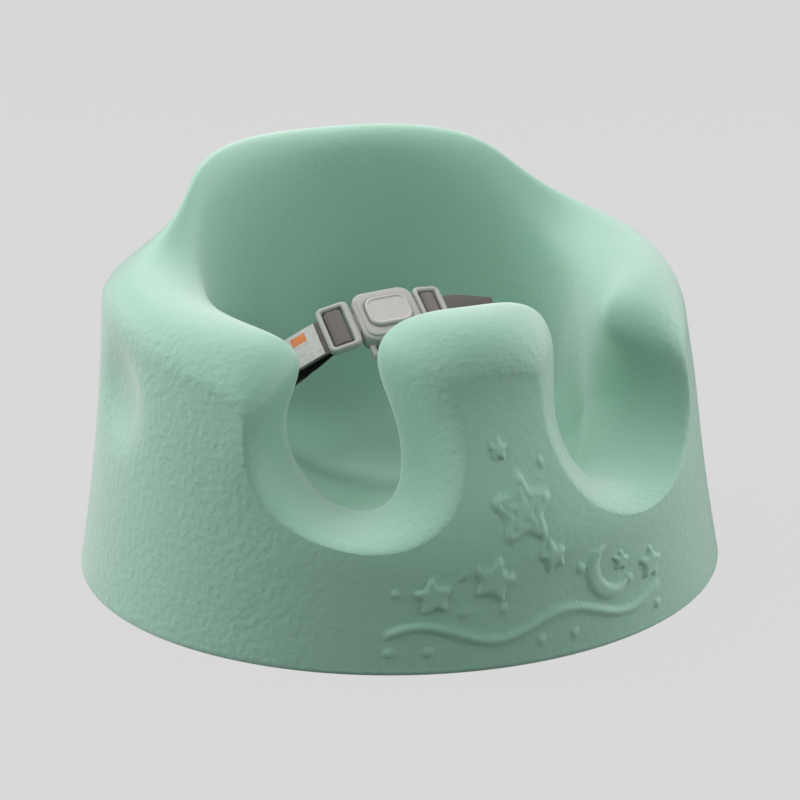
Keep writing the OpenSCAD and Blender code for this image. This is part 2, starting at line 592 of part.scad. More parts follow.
// Points on an arc, from one angle to another
function arc(middle, r, from, step, to) = [for (a = [from:step:to]) middle + r * [cos(a), sin(a)]];
turn_r = web_t / 2 + 0.4;    // middle of the webbing where it turns under the frame's end
// Stations of a free run between two places, each with its way out and its width
function free_run(from, out, to, back, reach, width_a, width_b) = [for (t = [0.2:0.2:0.8])
    [curve(from, from + out * reach, to + back * reach, to, t), width_a * (1 - t) + width_b * t]];
// Whole lap strap: it falls away from its tongue by main_drop, and its free end by tail_drop
function lap_stations(side, neck, window, bend, main_drop, tail_drop, twist, tail) =
    let (bx = bar_x(neck, window), end = frame_l(neck, window),
        edge = (bar_width(window) - bar_t) / 2, rim = bx + edge + bar_loop + turn_r,
        across = buckle_turn * [0, 1, 0],
        half_twisted = buckle_turn * [0, cos(twist / 2), sin(twist / 2)],
        twisted = buckle_turn * [0, cos(twist), sin(twist)],
        low = frame_low - layer_gap - web_t / 2, under = low - web_t - layer_gap - 0.2,
        tail_way = [cos(tail_drop), -sin(tail_drop)], tail_from = [end + 1.4, low],
        main_way = [cos(main_drop), -sin(main_drop)], main_from = [end - 2, under - 0.3],
        anchor = [for (p = anchor_run(channel_lean, channel_l))
            [[side * (side_anchor_x + p.x), 0, p.y], [0, 1, 0]]],
        joined = on_tongue(side, bend, main_from + main_way * 12))
    concat(
        anchor,
        free_run(anchor[len(anchor) - 1][0], [-side * sin(channel_lean), 0, cos(channel_lean)],
            joined, unit(joined - on_tongue(side, bend, main_from)), 17, [0, 1, 0], twisted),
        [[joined, twisted], [on_tongue(side, bend, main_from + main_way * 5), half_twisted]],
        [for (p = concat([main_from, [bx + edge + 2, under]],
            arc([bx - edge, bar_z], bar_loop, 270, -30, 90),
            arc([bx + edge, bar_z], bar_loop, 90, -30, 0),
            arc([rim, low + turn_r], turn_r, 180, 30, 270), [tail_from - [2, 0], tail_from]))
            [on_tongue(side, bend, p), across]],
        [for (d = [8, tail]) [on_tongue(side, bend, tail_from + tail_way * d), twisted]]);

left_stations = lap_stations(-1, left_neck, left_window, left_bend, 32, 18, 0, tail_l);
right_stations = lap_stations(1, right_neck, right_window, right_bend, 17, 11, 20, right_tail_l);
module left_lap_strap() color(grey_web_colour) strip(strap_line(left_stations), web_w, web_t);
module right_lap_strap() color(grey_web_colour) strip(strap_line(right_stations), web_w, web_t);

// The tag lies on the straight free end of the left strap
module left_tag() color(tag_colour) {
    n = len(left_stations);
    from = left_stations[n - 3];
    to = left_stations[n - 1];
    way = unit(to[0] - from[0]);
    side = unit(from[1] - way * (from[1] * way));
    strip([for (d = [1, 1 + tag_l]) [from[0] + way * d, side, cross(way, side)]], tag_w, tag_t,
        -(web_t + tag_t) / 2 - 0.1);
}

loop_bar = on_buckle([0, loop_bar_y, loop_bar_z]);
crotch_slot = [0, -crotch_anchor_y, crotch_slot_h];
crotch_stations =
    let (loop = loop_bar_d / 2 + layer_gap + web_t / 2, across = buckle_turn * [1, 0, 0],
        away = unit(crotch_slot - loop_bar), off = unit(cross(across, away)),
        anchor = [for (p = anchor_run(0, crotch_slot_h - pocket_depth))
            [[0, -crotch_anchor_y - p.x, p.y], [1, 0, 0]]],
        joined = loop_bar + away * 9 - off * layer_off)
    concat(
        anchor,
        free_run(anchor[len(anchor) - 1][0], [0, 0, 1], joined, away, 17, [1, 0, 0], across),
        [[joined, across]],
        [for (a = [-60:-30:-300]) [loop_bar + loop * (away * cos(a) + off * sin(a)), across]],
        [for (d = [9, 21]) [loop_bar + away * d + off * layer_off, across]]);
module crotch_strap() color(grey_web_colour) strip(strap_line(crotch_stations), web_w, web_t);

foam_body();
left_anchor_plate();
right_anchor_plate();
crotch_anchor_plate();
left_anchor_pin();
right_anchor_pin();
crotch_anchor_pin();
left_lap_strap();
right_lap_strap();
crotch_strap();
left_tag();
left_tongue();
right_tongue();
buckle_back_shell();
buckle_front_shell();
release_button();
button_spring();
left_catch_spring();
right_catch_spring();
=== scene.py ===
import bpy
import bmesh
import math
import numpy as np
from mathutils import Matrix, Vector
from mathutils.kdtree import KDTree


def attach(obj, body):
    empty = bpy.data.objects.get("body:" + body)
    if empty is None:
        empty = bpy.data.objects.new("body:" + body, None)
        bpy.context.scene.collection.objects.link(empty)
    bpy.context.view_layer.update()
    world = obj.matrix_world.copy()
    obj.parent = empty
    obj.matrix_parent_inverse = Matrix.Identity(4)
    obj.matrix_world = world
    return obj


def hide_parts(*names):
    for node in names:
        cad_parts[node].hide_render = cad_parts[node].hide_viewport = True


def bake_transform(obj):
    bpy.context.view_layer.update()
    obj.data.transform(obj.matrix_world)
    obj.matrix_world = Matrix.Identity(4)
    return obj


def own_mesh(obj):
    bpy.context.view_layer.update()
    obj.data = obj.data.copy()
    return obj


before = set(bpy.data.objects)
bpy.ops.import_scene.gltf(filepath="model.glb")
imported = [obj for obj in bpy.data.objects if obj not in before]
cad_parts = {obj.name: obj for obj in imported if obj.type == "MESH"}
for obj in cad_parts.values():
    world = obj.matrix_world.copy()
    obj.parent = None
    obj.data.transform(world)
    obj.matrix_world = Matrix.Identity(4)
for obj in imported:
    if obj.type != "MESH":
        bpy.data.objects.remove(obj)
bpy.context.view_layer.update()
scene = bpy.context.scene

# ---- Camera: the photograph's viewing angle, frame 800 by 800 --
cam_right = Vector((0.92225, -0.38639, -0.01245))
cam_up = Vector((0.13034, 0.28047, 0.95098))
cam_back = Vector((-0.36395, -0.87866, 0.30902))
cam_at = Vector((-0.544565, -1.318558, 0.555837))
camera = bpy.data.objects.new("camera", bpy.data.cameras.new("camera"))
sensor, picture_width, focal_in_pixels = 36, 800, 2548.33
camera.data.sensor_width = sensor
camera.data.lens = focal_in_pixels * sensor / picture_width
camera.data.clip_start = 0.05
camera.data.clip_end = 50
camera.matrix_world = Matrix((*zip(cam_right, cam_up, cam_back, cam_at), (0, 0, 0, 1)))
scene.collection.objects.link(camera)
scene.camera = camera


# ---- Mesh helpers: sizes are in millimetres until put() --------
mm = 0.001


def put(name, points, faces, materials=(), face_material=None, sharp=None, uv=None):
    """New object from points in millimetres. sharp is the angle from which an edge stays hard."""
    mesh = bpy.data.meshes.new(name)
    corners = [list(map(int, f)) for f in faces]
    mesh.from_pydata((np.asarray(points, float) * mm).tolist(), [], corners)
    mesh.update()
    mesh.polygons.foreach_set("use_smooth", [True] * len(mesh.polygons))
    if sharp is not None:
        mesh.set_sharp_from_angle(angle=math.radians(sharp))
    for m in materials:
        mesh.materials.append(m)
    if face_material is not None:
        mesh.polygons.foreach_set("material_index", list(map(int, face_material)))
    if uv is not None:
        layer = mesh.uv_layers.new(name="uv")
        loops = np.zeros(len(mesh.loops), int)
        mesh.loops.foreach_get("vertex_index", loops)
        layer.data.foreach_set("uv", np.asarray(uv, float)[loops].astype(np.float32).ravel())
    obj = bpy.data.objects.new(name, mesh)
    scene.collection.objects.link(obj)
    return obj


def join_parts(parts):
    points, faces, base = [], [], 0
    for p, f in parts:
        points.append(np.asarray(p, float))
        faces += [[v + base for v in q] for q in f]
        base += len(p)
    return np.vstack(points), faces


def cut(obj, cutters):
    """Cuts boxes, given as eight corner points, out of a closed mesh."""
    sides = [(0, 1, 3, 2), (4, 6, 7, 5), (0, 4, 5, 1), (2, 3, 7, 6), (0, 2, 6, 4), (1, 5, 7, 3)]
    for corners in cutters:
        box = put("cutter", corners, sides)
        bm = bmesh.new()
        bm.from_mesh(box.data)
        bmesh.ops.recalc_face_normals(bm, faces=bm.faces)
        bm.to_mesh(box.data)
        bm.free()
        mod = obj.modifiers.new("cut", "BOOLEAN")
        mod.operation = "DIFFERENCE"
        mod.solver = "EXACT"
        mod.object = box
        graph = bpy.context.evaluated_depsgraph_get()
        mesh = bpy.data.meshes.new_from_object(
            obj.evaluated_get(graph), preserve_all_data_layers=True, depsgraph=graph)
        obj.modifiers.clear()
        obj.data = mesh
        bpy.data.objects.remove(box)


def ring_shape(length, width, corner, n=9, middle=0.0):
    """Points of a rounded rectangle, counter-clockwise, the same number for every size."""
    pts = []
    for k, (sx, sy) in enumerate(((1, 1), (-1, 1), (-1, -1), (1, -1))):
        for i in range(n + 1):
            a = math.radians(90 * k + 90 * i / n)
            pts.append((middle + sx * (length / 2 - corner) + corner * math.cos(a),
                        sy * (width / 2 - corner) + corner * math.sin(a)))
    return np.array(pts)


def loft(rings, closed=False, caps=(False, False)):
    """Skins a list of point rings. closed joins the last ring to the first."""
    m = len(rings[0])
    pts = np.vstack(rings)
    faces = []
    count = len(rings)
    for i in range(count if closed else count - 1):
        a, b = i * m, ((i + 1) % count) * m
        for k in range(m):
            q = (k + 1) % m
            faces.append((a + k, a + q, b + q, b + k))
    if caps[0]:
        faces.append(tuple(range(m - 1, -1, -1)))
    if caps[1]:
        faces.append(tuple((count - 1) * m + k for k in range(m)))
    return pts, faces


def flat_ring(shape, z):
    return np.column_stack([shape, np.full(len(shape), float(z))])


def round_ring(middle, a, b, r, n):
    """Circle of n points in the plane of a and b."""
    return np.array([middle + r * (a * math.cos(t) + b * math.sin(t))
                     for t in np.linspace(0, 2 * math.pi, n, endpoint=False)])


# ---- Buckle's own frame ----------------------------------------
def turn(axis, a):
    """Rotation by a degrees about axis 0, 1 or 2."""
    c, s = math.cos(math.radians(a)), math.sin(math.radians(a))
    i, j = (axis + 1) % 3, (axis + 2) % 3
    m = np.eye(3)
    m[i, i], m[i, j], m[j, i], m[j, j] = c, -s, s, c
    return m


buckle_at = np.array([-8, -7.5, 150.0])
buckle_turn = turn(2, -3.5) @ turn(1, -4.5) @ turn(0, 31.5)


def on_buckle(points):
    return buckle_at + np.asarray(points, float) @ buckle_turn.T


# ---- Materials -------------------------------------------------
def linear(r, g, b):
    """Screen colour as the linear one that shaders take."""
    return tuple(c / 12.92 if c <= 0.04045 else ((c + 0.055) / 1.055) ** 2.4 for c in (r, g, b)) + (1.0,)


class Nodes:
    """A material and short ways to add and join its nodes."""
    def __init__(self, name):
        self.material = bpy.data.materials.new(name)
        self.material.use_nodes = True
        self.tree = self.material.node_tree
        self.shader = self.tree.nodes["Principled BSDF"]

    def add(self, kind, **values):
        node = self.tree.nodes.new("ShaderNode" + kind)
        for key, value in values.items():
            if key in node.inputs:
                node.inputs[key].default_value = value
            else:
                setattr(node, key, value)
        return node

    def link(self, a, b):
        self.tree.links.new(a, b)

    def math(self, operation, a, b=None, c=None):
        node = self.add("Math", operation=operation)
        for socket, value in zip(node.inputs, (a, b, c)):
            if value is None:
                continue
            if isinstance(value, (int, float)):
                socket.default_value = value
            else:
                self.link(value, socket)
        return node.outputs[0]

    def place(self, scale=(1, 1, 1), uv=False):
        coords = self.add("UVMap") if uv else self.add("TexCoord")
        mapping = self.add("Mapping")
        mapping.inputs["Scale"].default_value = scale
        self.link(coords.outputs["UV" if uv else "Object"], mapping.inputs["Vector"])
        return mapping.outputs[0]

    def noise(self, vector, scale, detail=2.0, roughness=0.5):
        node = self.add("TexNoise", Scale=scale, Detail=detail, Roughness=roughness)
        self.link(vector, node.inputs["Vector"])
        return node.outputs[0]

    def ramp(self, value, stops):
        node = self.add("ValToRGB")
        ends = node.color_ramp.elements
        while len(ends) < len(stops):
            ends.new(0.5)
        for e, (at, colour) in zip(ends, stops):
            e.position = at
            e.color = colour
        self.link(value, node.inputs[0])
        return node.outputs[0]

    def mix(self, factor, a, b):
        node = self.add("Mix", data_type="RGBA")
        for socket, value in ((node.inputs[0], factor), (node.inputs[6], a), (node.inputs[7], b)):
            if isinstance(value, (int, float, tuple)):
                socket.default_value = value
            else:
                self.link(value, socket)
        return node.outputs[2]

    def bump(self, height, strength, distance):
        node = self.add("Bump", Strength=strength, Distance=distance)
        self.link(height, node.inputs["Height"])
        self.link(node.outputs[0], self.shader.inputs["Normal"])

    def set(self, **values):
        for key, value in values.items():
            self.shader.inputs[key.replace("_", " ")].default_value = value

    def colour(self, socket):
        self.link(socket, self.shader.inputs["Base Color"])

    def roughness(self, value, low, high):
        node = self.add("MapRange")
        node.inputs["To Min"].default_value = low
        node.inputs["To Max"].default_value = high
        self.link(value, node.inputs["Value"])
        self.link(node.outputs[0], self.shader.inputs["Roughness"])

    def along_cloth(self):
        """Places across and along a strip, in millimetres, each counted from 50."""
        split = self.add("SeparateXYZ")
        self.link(self.add("UVMap").outputs["UV"], split.inputs[0])
        return split.outputs[0], split.outputs[1]

    def between(self, value, low, high):
        above = self.math("GREATER_THAN", value, low)
        return self.math("MULTIPLY", above, self.math("LESS_THAN", value, high))

    def wave(self, value, pitch, shift=None):
        turns = self.math("MULTIPLY", value, 2 * math.pi / pitch)
        return self.math("SINE", turns if shift is None else self.math("ADD", turns, shift))


def foam_material():
    """Integral-skin foam: mint, with an orange-peel skin whose dents hold painted shade. Its attribute skin
    says how rough it is and how much of that painted shade shows.
    """
    n = Nodes("mint_foam_skin")
    n.set(Specular_IOR_Level=0.5, Sheen_Weight=0.68, Sheen_Roughness=0.5)
    at = n.place()
    cloud = n.noise(at, 9, 3)
    fleck = n.noise(at, 420, 2)
    base = n.ramp(cloud, [(0.3, linear(0.534, 0.732, 0.640)), (0.7, linear(0.558, 0.748, 0.660))])
    peel = n.noise(at, 260, 2.5, 0.55)
    dents = n.add("TexVoronoi", feature="SMOOTH_F1", Scale=230)
    dents.inputs["Smoothness"].default_value = 0.7
    n.link(at, dents.inputs["Vector"])
    skin = n.add("Attribute", attribute_name="skin").outputs["Fac"]
    pits = n.math("MULTIPLY_ADD", dents.outputs["Distance"], 0.55, peel)
    height = n.math("MULTIPLY", pits, skin)
    grain = n.math("MULTIPLY_ADD", fleck, 0.10, height)
    n.bump(grain, 0.5, 0.001)
    # painted shade: the skin's dents are darkened in colour, as far as the skin attribute lets
    low = n.ramp(pits, [(0.45, (0.0, 0, 0, 1)), (0.95, (1, 1, 1, 1))])
    shade = n.mix(0.10, base, linear(0.60, 0.78, 0.70))
    pit_shade_share = n.math("MULTIPLY", n.math("SUBTRACT", 1.0, low), 0.10)
    shaded_pits = n.mix(pit_shade_share, base, linear(0.41, 0.61, 0.52))
    n.colour(n.mix(n.math("MULTIPLY", skin, 0.5), shade, shaded_pits))
    n.roughness(cloud, 0.50, 0.62)
    return n.material


def plastic_material(name, low, high, rough, grain=0.12):
    """Moulded acetal: fine spark texture, slight cloudiness and lighter colour on its sharpest edges."""
    n = Nodes(name)
    n.set(Specular_IOR_Level=0.45)
    at = n.place()
    cloud = n.noise(at, 60, 2)
    fine = n.noise(at, 2600, 2)
    scuff = n.noise(n.place((1, 6, 1)), 420, 3, 0.7)
    geometry = n.add("NewGeometry")
    edge = n.ramp(geometry.outputs["Pointiness"], [(0.50, (0, 0, 0, 1)), (0.60, (1, 1, 1, 1))])
    body = n.ramp(cloud, [(0.25, linear(*low)), (0.75, linear(*high))])
    # colour is made lighter where the surface is most pointy, on convex edges
    lighter_edges = n.mix(n.math("MULTIPLY", edge, 0.25), body, linear(*(min(1, c * 1.08) for c in high)))
    marks = n.math("GREATER_THAN", scuff, 0.70)
    n.colour(n.mix(n.math("MULTIPLY", marks, 0.12), lighter_edges, linear(*(c * 0.9 for c in low))))
    n.roughness(scuff, rough - 0.06, rough + 0.10)
    n.bump(fine, grain, 0.0002)
    return n.material


def webbing_material(name, light, dark, sheen):
    """Plain-woven polyester webbing from its own length and width, in millimetres, with painted shade in
    the low places of its weave.
    """
    n = Nodes(name)
    n.set(Specular_IOR_Level=0.25, Sheen_Weight=sheen, Sheen_Roughness=0.4)
    across, along = n.along_cloth()
    # warp ribs across the width, each rib a chain of short floats
    rib_pitch, float_pitch = 1.05, 1.5
    rib = n.wave(across, rib_pitch)
    row = n.math("FLOOR", n.math("DIVIDE", across, rib_pitch))
    offset = n.math("MULTIPLY", n.math("MODULO", n.math("ABSOLUTE", row), 2.0), math.pi)
    pick = n.wave(along, float_pitch, offset)
    weave = n.math("MULTIPLY_ADD", pick, 0.45, n.math("ABSOLUTE", rib))
    hair = n.noise(n.place(uv=True), 2.2, 3)
    height = n.math("MULTIPLY_ADD", hair, 0.35, weave)
    n.bump(height, 0.7, 0.00022)
    # painted shade and light: the weave's low places take the dark colour and its raised floats the light
    # one
    weave_shading = n.ramp(weave, [(0.05, linear(*dark)), (0.95, linear(*light))])
    n.colour(n.mix(n.math("MULTIPLY", hair, 0.35), weave_shading, linear(*(c * 0.82 for c in dark))))
    n.roughness(hair, 0.72, 0.9)
    return n.material


def tag_material():
    """Satin ribbon, off-white with a plain orange block woven into one end."""
    n = Nodes("satin_tag")
    n.set(Specular_IOR_Level=0.4, Sheen_Weight=0.15)
    across, along = n.along_cloth()
    block = n.math("MULTIPLY", n.between(across, 53.2, 59.6), n.between(along, 57.0, 66.5))
    threads = n.wave(across, 0.35)
    cross = n.wave(along, 0.42)
    weave = n.math("MULTIPLY_ADD", cross, 0.6, threads)
    cloud = n.noise(n.place(uv=True), 0.3, 2)
    white = n.ramp(cloud, [(0.3, linear(0.76, 0.76, 0.75)), (0.7, linear(0.84, 0.84, 0.83))])
    orange = n.ramp(cloud, [(0.3, linear(0.88, 0.50, 0.24)), (0.7, linear(0.93, 0.56, 0.30))])
    n.colour(n.mix(block, white, orange))
    n.roughness(cloud, 0.42, 0.58)
    n.bump(weave, 0.25, 0.00006)
    return n.material


def steel_material():
    """Drawn spring steel: fine lengthwise drawing marks and a few duller patches."""
    n = Nodes("drawn_steel")
    n.set(Metallic=1.0)
    at = n.place((1, 1, 12))
    marks = n.noise(at, 900, 3, 0.7)
    dull = n.noise(n.place(), 70, 2)
    n.colour(n.ramp(dull, [(0.3, linear(0.56, 0.56, 0.57)), (0.7, linear(0.70, 0.70, 0.71))]))
    n.roughness(dull, 0.26, 0.44)
    n.bump(marks, 0.15, 0.00008)
    return n.material


foam = foam_material()
buckle_plastic = plastic_material("grey_buckle", (0.648, 0.650, 0.640), (0.678, 0.680, 0.670), 0.46)
button_plastic = plastic_material("grey_button", (0.700, 0.698, 0.684), (0.732, 0.728, 0.714), 0.42)
anchor_plastic = plastic_material("dark_anchor", (0.17, 0.17, 0.18), (0.21, 0.21, 0.22), 0.5, 0.2)
# each webbing's first colour is its weave's raised floats, the second its low places in painted shade
grey_web = webbing_material("grey_webbing", (0.53, 0.505, 0.48), (0.39, 0.372, 0.355), 0.25)
black_web = webbing_material("black_webbing", (0.085, 0.085, 0.09), (0.045, 0.045, 0.05), 0.05)
thread = webbing_material("white_thread", (0.80, 0.80, 0.79), (0.66, 0.66, 0.65), 0.1)
satin = tag_material()
steel = steel_material()

# ---- Foam body -------------------------------------------------
base_r, waist_r, waist_z, base_edge, pan_h = 190.0, 168.0, 230.0, 2.5, 54.0
# foot angle, rim angle, rim height, shoulder angle, shoulder height, rim radius, bucket radius,
# lean of the wall, height where the lean starts and ends, roundness at shoulder and rim
stations = np.array([
    [0, 0, 177, 0, 147, 108, 84, 27, 55, 150, .55, .55],
    [2.5, 8, 177, 4.5, 147, 107, 84, 27, 55, 150, .50, .50],
    [5, 18, 174, 7.5, 146, 105, 84, 27, 55, 150, .42, .35],
    [6.5, 26, 166, 8.5, 143, 105, 85, 27, 55, 150, .32, .20],
    [8, 29, 152, 8.5, 136, 105, 87, 27, 55, 150, .27, .12],
    [9, 27, 136, 8, 124, 106, 90, 27, 55, 150, .25, .10],
    [11, 22, 116, 8.5, 105, 113, 94, 27, 55, 150, .25, .10],
    [15.5, 21, 89, 12, 79, 128, 98, 27, 55, 150, .30, .20],
    [23, 26, 73, 20.5, 64, 147, 105, 27, 55, 150, .45, .40],
    [34, 33, 70, 30, 63, 154, 110, 20.25, 55, 150, .50, .50],
    [45, 40, 77, 40, 71, 155, 112, 10, 55, 150, .50, .50],
    [56, 46.5, 94, 48.5, 87, 152, 112, 2, 55, 150, .50, .45],
    [64, 49, 116, 51, 110, 149, 110, 0, 60, 155, .50, .40],
    [68, 47.5, 135, 51, 127, 139, 109, 2, 80, 165, .45, .35],
    [70, 46, 149, 52.5, 137, 127, 108, 4, 90, 170, .42, .35],
    [72, 50, 163, 57.5, 143, 125, 107, 5, 100, 172, .45, .42],
    [75, 60, 169, 66, 147, 132, 107, 5, 110, 175, .55, .55],
    [80, 72, 173, 75, 149, 140, 107, 3, 120, 178, .62, .62],
    [88, 86, 178, 87, 153, 144, 108, 1, 140, 184, .66, .66],
    [98, 98, 184, 98, 158, 142, 109, 2, 155, 192, .66, .66],
    [108, 106, 191, 107, 165, 135, 110, 16, 160, 200, .62, .62],
    [118, 113, 201, 116, 178, 127, 111, 36, 160, 206, .58, .58],
    [128, 121, 212, 126, 191, 122, 111, 41, 150, 212, .55, .55],
    [139, 131, 225, 135, 202, 121, 111, 40, 125, 218, .55, .55],
    [151, 145, 230.5, 147, 208, 123, 111, 34, 90, 223, .55, .55],
    [165, 162, 232, 163, 212, 125, 111, 28, 70, 230, .55, .55],
    [180, 180, 231, 180, 213, 126, 111, 26, 60, 230, .55, .55]], float)


def bezier(p, q, r, s, t):
    return p * (1 - t) ** 3 + 3 * q * (1 - t) ** 2 * t + 3 * r * (1 - t) * t * t + s * t ** 3


def rim_at(u):
    """Rows of the table at places u round the seat, smoothed by a cubic spline and mirrored."""
    far = stations[1:-1][::-1].copy()
    far[:, [0, 1, 3]] = 360 - far[:, [0, 1, 3]]
    rows = np.vstack([stations, far])
    count = len(rows)
    i = np.floor(u).astype(int)
    t = (u - i)[:, None]

    def row(j):
        turns, k = np.divmod(j, count)
        p = rows[k].copy()
        for c in (0, 1, 3):
            p[:, c] += 360 * turns
        return p
    return (row(i - 1) * (1 - t) ** 3 + row(i) * (3 * t ** 3 - 6 * t ** 2 + 4)
            + row(i + 1) * (-3 * t ** 3 + 3 * t ** 2 + 3 * t + 1) + row(i + 2) * t ** 3) / 6


def wall_r(a, z, lean, z1, z2):
    """Radius of the outer wall, with the shallow dish in each side."""
    s = np.clip((z - z1) / (z2 - z1), 0, 1)
    s = s * s * (3 - 2 * s)
    side = np.abs((a + 180) % 360 - 180)
    dish = 8 * np.exp(-(((side - 88) / 9) ** 2 + ((z - 121) / 25) ** 2) ** 1.4)
    return waist_r + (base_r - waist_r) * (1 - np.clip(z, 0, waist_z) / waist_z) ** 2 - lean * s - dish


def blob(d, height, edge):
    """Pillow-like relief from a distance outside a shape's outline."""
    t = np.clip(-d / edge, 0, 1)
    return height * np.sqrt(np.clip(1 - (1 - t) ** 2, 0, 1)) * (0.75 + 0.25 * t)


def relief(s, t):
    """Moulded decoration low on the front: stars, a moon and a beaded wave.

    s is the arc from the middle of the front and t the height, both in millimetres.
    """
    total = np.zeros_like(s)

    def add(d, height, edge):
        np.maximum(total, blob(d, height, edge), out=total)

    def star(cs, ct, size, turn):
        x, y = s - cs, t - ct
        a = np.arctan2(y, x) - math.radians(turn)
        return np.hypot(x, y) - size * (1 + 0.22 * np.cos(5 * a) + 0.04 * np.cos(10 * a))
    # large star with a groove inside its outline and a ring in the middle
    star_z = 82
    big = star(0, star_z, 15, 90)
    add(big, 2.3, 4)
    total[:] -= 0.8 * np.exp(-((big + 6.5) / 1.2) ** 2) * (big < 0)
    add(np.abs(np.hypot(s, t - star_z) - 3.8) - 1.4, 2.4, 1.4)
    # moon: a disc without the disc beside it
    add(np.maximum(np.hypot(s - 48, t - 40) - 15, 12 - np.hypot(s - 54, t - 44)), 2.1, 2.8)
    for cs, ct, size, turn in ((57, 44, 4.4, 80), (14, 56, 6.4, 100), (-20, 48, 9.5, 72), (-52, 42, 8, 96),
                               (80, 36, 7.5, 84), (-8, 112, 4.6, 84)):
        add(star(cs, ct, size, turn), 2.0, 0.3 * size)
    for cs, ct, r in ((-36, 52, 2.6), (17, 103, 2.4), (30, 46, 3), (-71, 44, 2.4)):
        add(np.hypot(s - cs, t - ct) - r, 1.3, 2)
    # wave with rounded ends, and a bead in each of its bends
    wave_z, wave_h, wave_l = 21, 5, 12.5
    crest = wave_z + wave_h * np.sin(s / wave_l)
    wave = np.abs(t - crest) / np.hypot(1, 0.4 * np.cos(s / wave_l)) - 2.6
    end = np.clip((82 - np.abs(s - 4)) / 4, 0, 1)
    add(wave, 1.8, 2.2)
    total[:] *= np.where(t < 31, end, 1)
    for k in range(9):
        cs = -75 + 19.6 * k
        bead_z = wave_z - 2 * wave_h * np.sign(math.sin(cs / wave_l)) + 1.5
        add(np.hypot(s - cs, t - bead_z) - 2.7, 1.3, 2.2)
    return total


wall_steps, lip_steps, slope_steps, bowl_steps = 96, 20, 14, 30
relief_r, relief_half_angle = 176, 48


def steps_to_one(count):
    return (np.arange(1, count + 1) / count)[None]


def foam_grid(u):
    """Points of the body, one row for each place u: underside, edge, wall, lip, slope and bowl."""
    p = rim_at(u)
    a0, a, z, sa, sz, rm, ri, lean, z1, z2, k1, k2 = [p[:, k][:, None] for k in range(12)]
    parts = []

    def add(angle, radius, height, skin):
        angle, radius, height = np.broadcast_arrays(angle, radius, height)
        parts.append((angle, radius, height, np.broadcast_to(skin, angle.shape)))
    # underside and its rounded edge
    t = np.array([[0.35, 0.7, 0.9]])
    add(a0 + 0 * t, (base_r - base_edge) * t + 0 * a0, 0 * t + 0 * a0, 0.5)
    f = np.radians(np.linspace(0, 90, 5))[None]
    rise = 1 - np.cos(f)
    add(a0 + 0 * f, base_r - base_edge + base_edge * np.sin(f) - 0.19 * base_edge * rise + 0 * a0,
        base_edge * rise + 0 * a0, 0.8)
    # wall up to the shoulder, with the decoration
    dz, da, de = sz - base_edge, a - sa, z - sz
    length = np.hypot(da * 2.8, de)
    lead = 6 + 0.3 * dz * (de / length) ** 2
    shift = da / length * lead
    shift = np.where(a0 < 180, np.minimum(shift, sa / 2), np.maximum(shift, (sa - 360) / 2))
    t = steps_to_one(wall_steps)
    angle = bezier(a0, a0, sa - shift, sa, t)
    height = bezier(base_edge + 0 * a0, base_edge + dz * 0.35, sz - de / length * lead, sz, t)
    radius = wall_r(angle, height, lean, z1, z2)
    turned = (angle + 180) % 360 - 180
    raised = relief(np.radians(turned) * relief_r, height) * (np.abs(turned) < relief_half_angle)
    # the decorated front's skin is half as rough
    smooth_front = 0.5 * np.clip((46 - np.abs(turned)) / 14, 0, 1)
    add(angle, radius + raised, height, (1.0 - smooth_front) * (1.0 - 0.6 * np.clip(raised / 1.2, 0, 1)))
    # lip from the shoulder over to the rim
    t = steps_to_one(lip_steps)
    angle = bezier(sa, sa + da * k1, a, a, t)
    height = bezier(sz, sz + de * k1, z, z, t)
    share = bezier(1, 1, k2, 0, t)
    add(angle, rm + (wall_r(angle, height, lean, z1, z2) - rm) * share, height,
        np.interp(t, [0, 0.3, 0.85], [1, 0.9, 0.3]))
    # slope inside the rim down to zi, then the bucket's wall and pan
    lowest, easing, least_drop = pan_h + 4, 10, 11
    d = sz - lowest
    zi = np.minimum(lowest + (d + np.sqrt(d * d + easing ** 2)) / 2, z - least_drop)
    t = steps_to_one(slope_steps)
    share = bezier(0, 0.5, 1, 1, t)
    add(bezier(a, a, a0 + (a - a0) * 0.5, a0, t), rm + (ri - rm) * share,
        bezier(z, z, zi + (z - zi) * 0.5, zi, t), 0.3 + 0.0 * t)
    t = steps_to_one(bowl_steps)
    hb = zi - pan_h
    add(a0 + 0 * t, bezier(ri, ri, ri * 0.68, 0, t), bezier(zi, zi - hb * 0.75, pan_h, pan_h, t), 0.35)
    angle, radius, height, skin = [np.concatenate([q[k] for q in parts], 1) for k in range(4)]
    th = np.radians(angle)
    return np.stack([radius * np.sin(th), -radius * np.cos(th), height], -1), skin


# places round the seat in rows of the table, closer together over the decorated front
back_row = len(stations) - 1
half = np.concatenate([np.arange(0, 7, 1 / 8), np.arange(7, 10, 1 / 26),
                       np.arange(10, back_row, 1 / 7), [float(back_row)]])
u = np.concatenate([half, 2 * back_row - half[1:-1][::-1]])
grid, skin = foam_grid(u)
# the last column of the grid is one point, the middle of the pan
grid, skin, pan_middle = grid[:, :-1], skin[:, :-1], grid[:, -1].mean(0)
cols, rows = grid.shape[:2]
# the bucket's wall is evened out sideways, more and more away from the rim, and longest where
# the columns crowd beside the leg holes
inner_rows = slope_steps + bowl_steps
ease_in = (np.clip(np.arange(inner_rows) / 16, 0, 1) ** 2)[None, :, None]
inside = grid[:, -inner_rows:]
foot = rim_at(u)[:, 0]
spacing = ((np.roll(foot, -1) - np.roll(foot, 1)) % 360
           / ((np.roll(u, -1) - np.roll(u, 1)) % (2 * back_row)))
crowded = (np.clip((7.5 - spacing) / 3.5, 0, 1) * (np.abs(u - back_row) < 17))[:, None, None]
even_passes, crowded_passes, seam_passes = 40, 320, 16
for k in range(even_passes + crowded_passes):
    share = ease_in * (crowded if k >= even_passes else 1.0)
    inside += 0.5 * share * ((np.roll(inside, 1, 0) + np.roll(inside, -1, 0)) / 2 - inside)
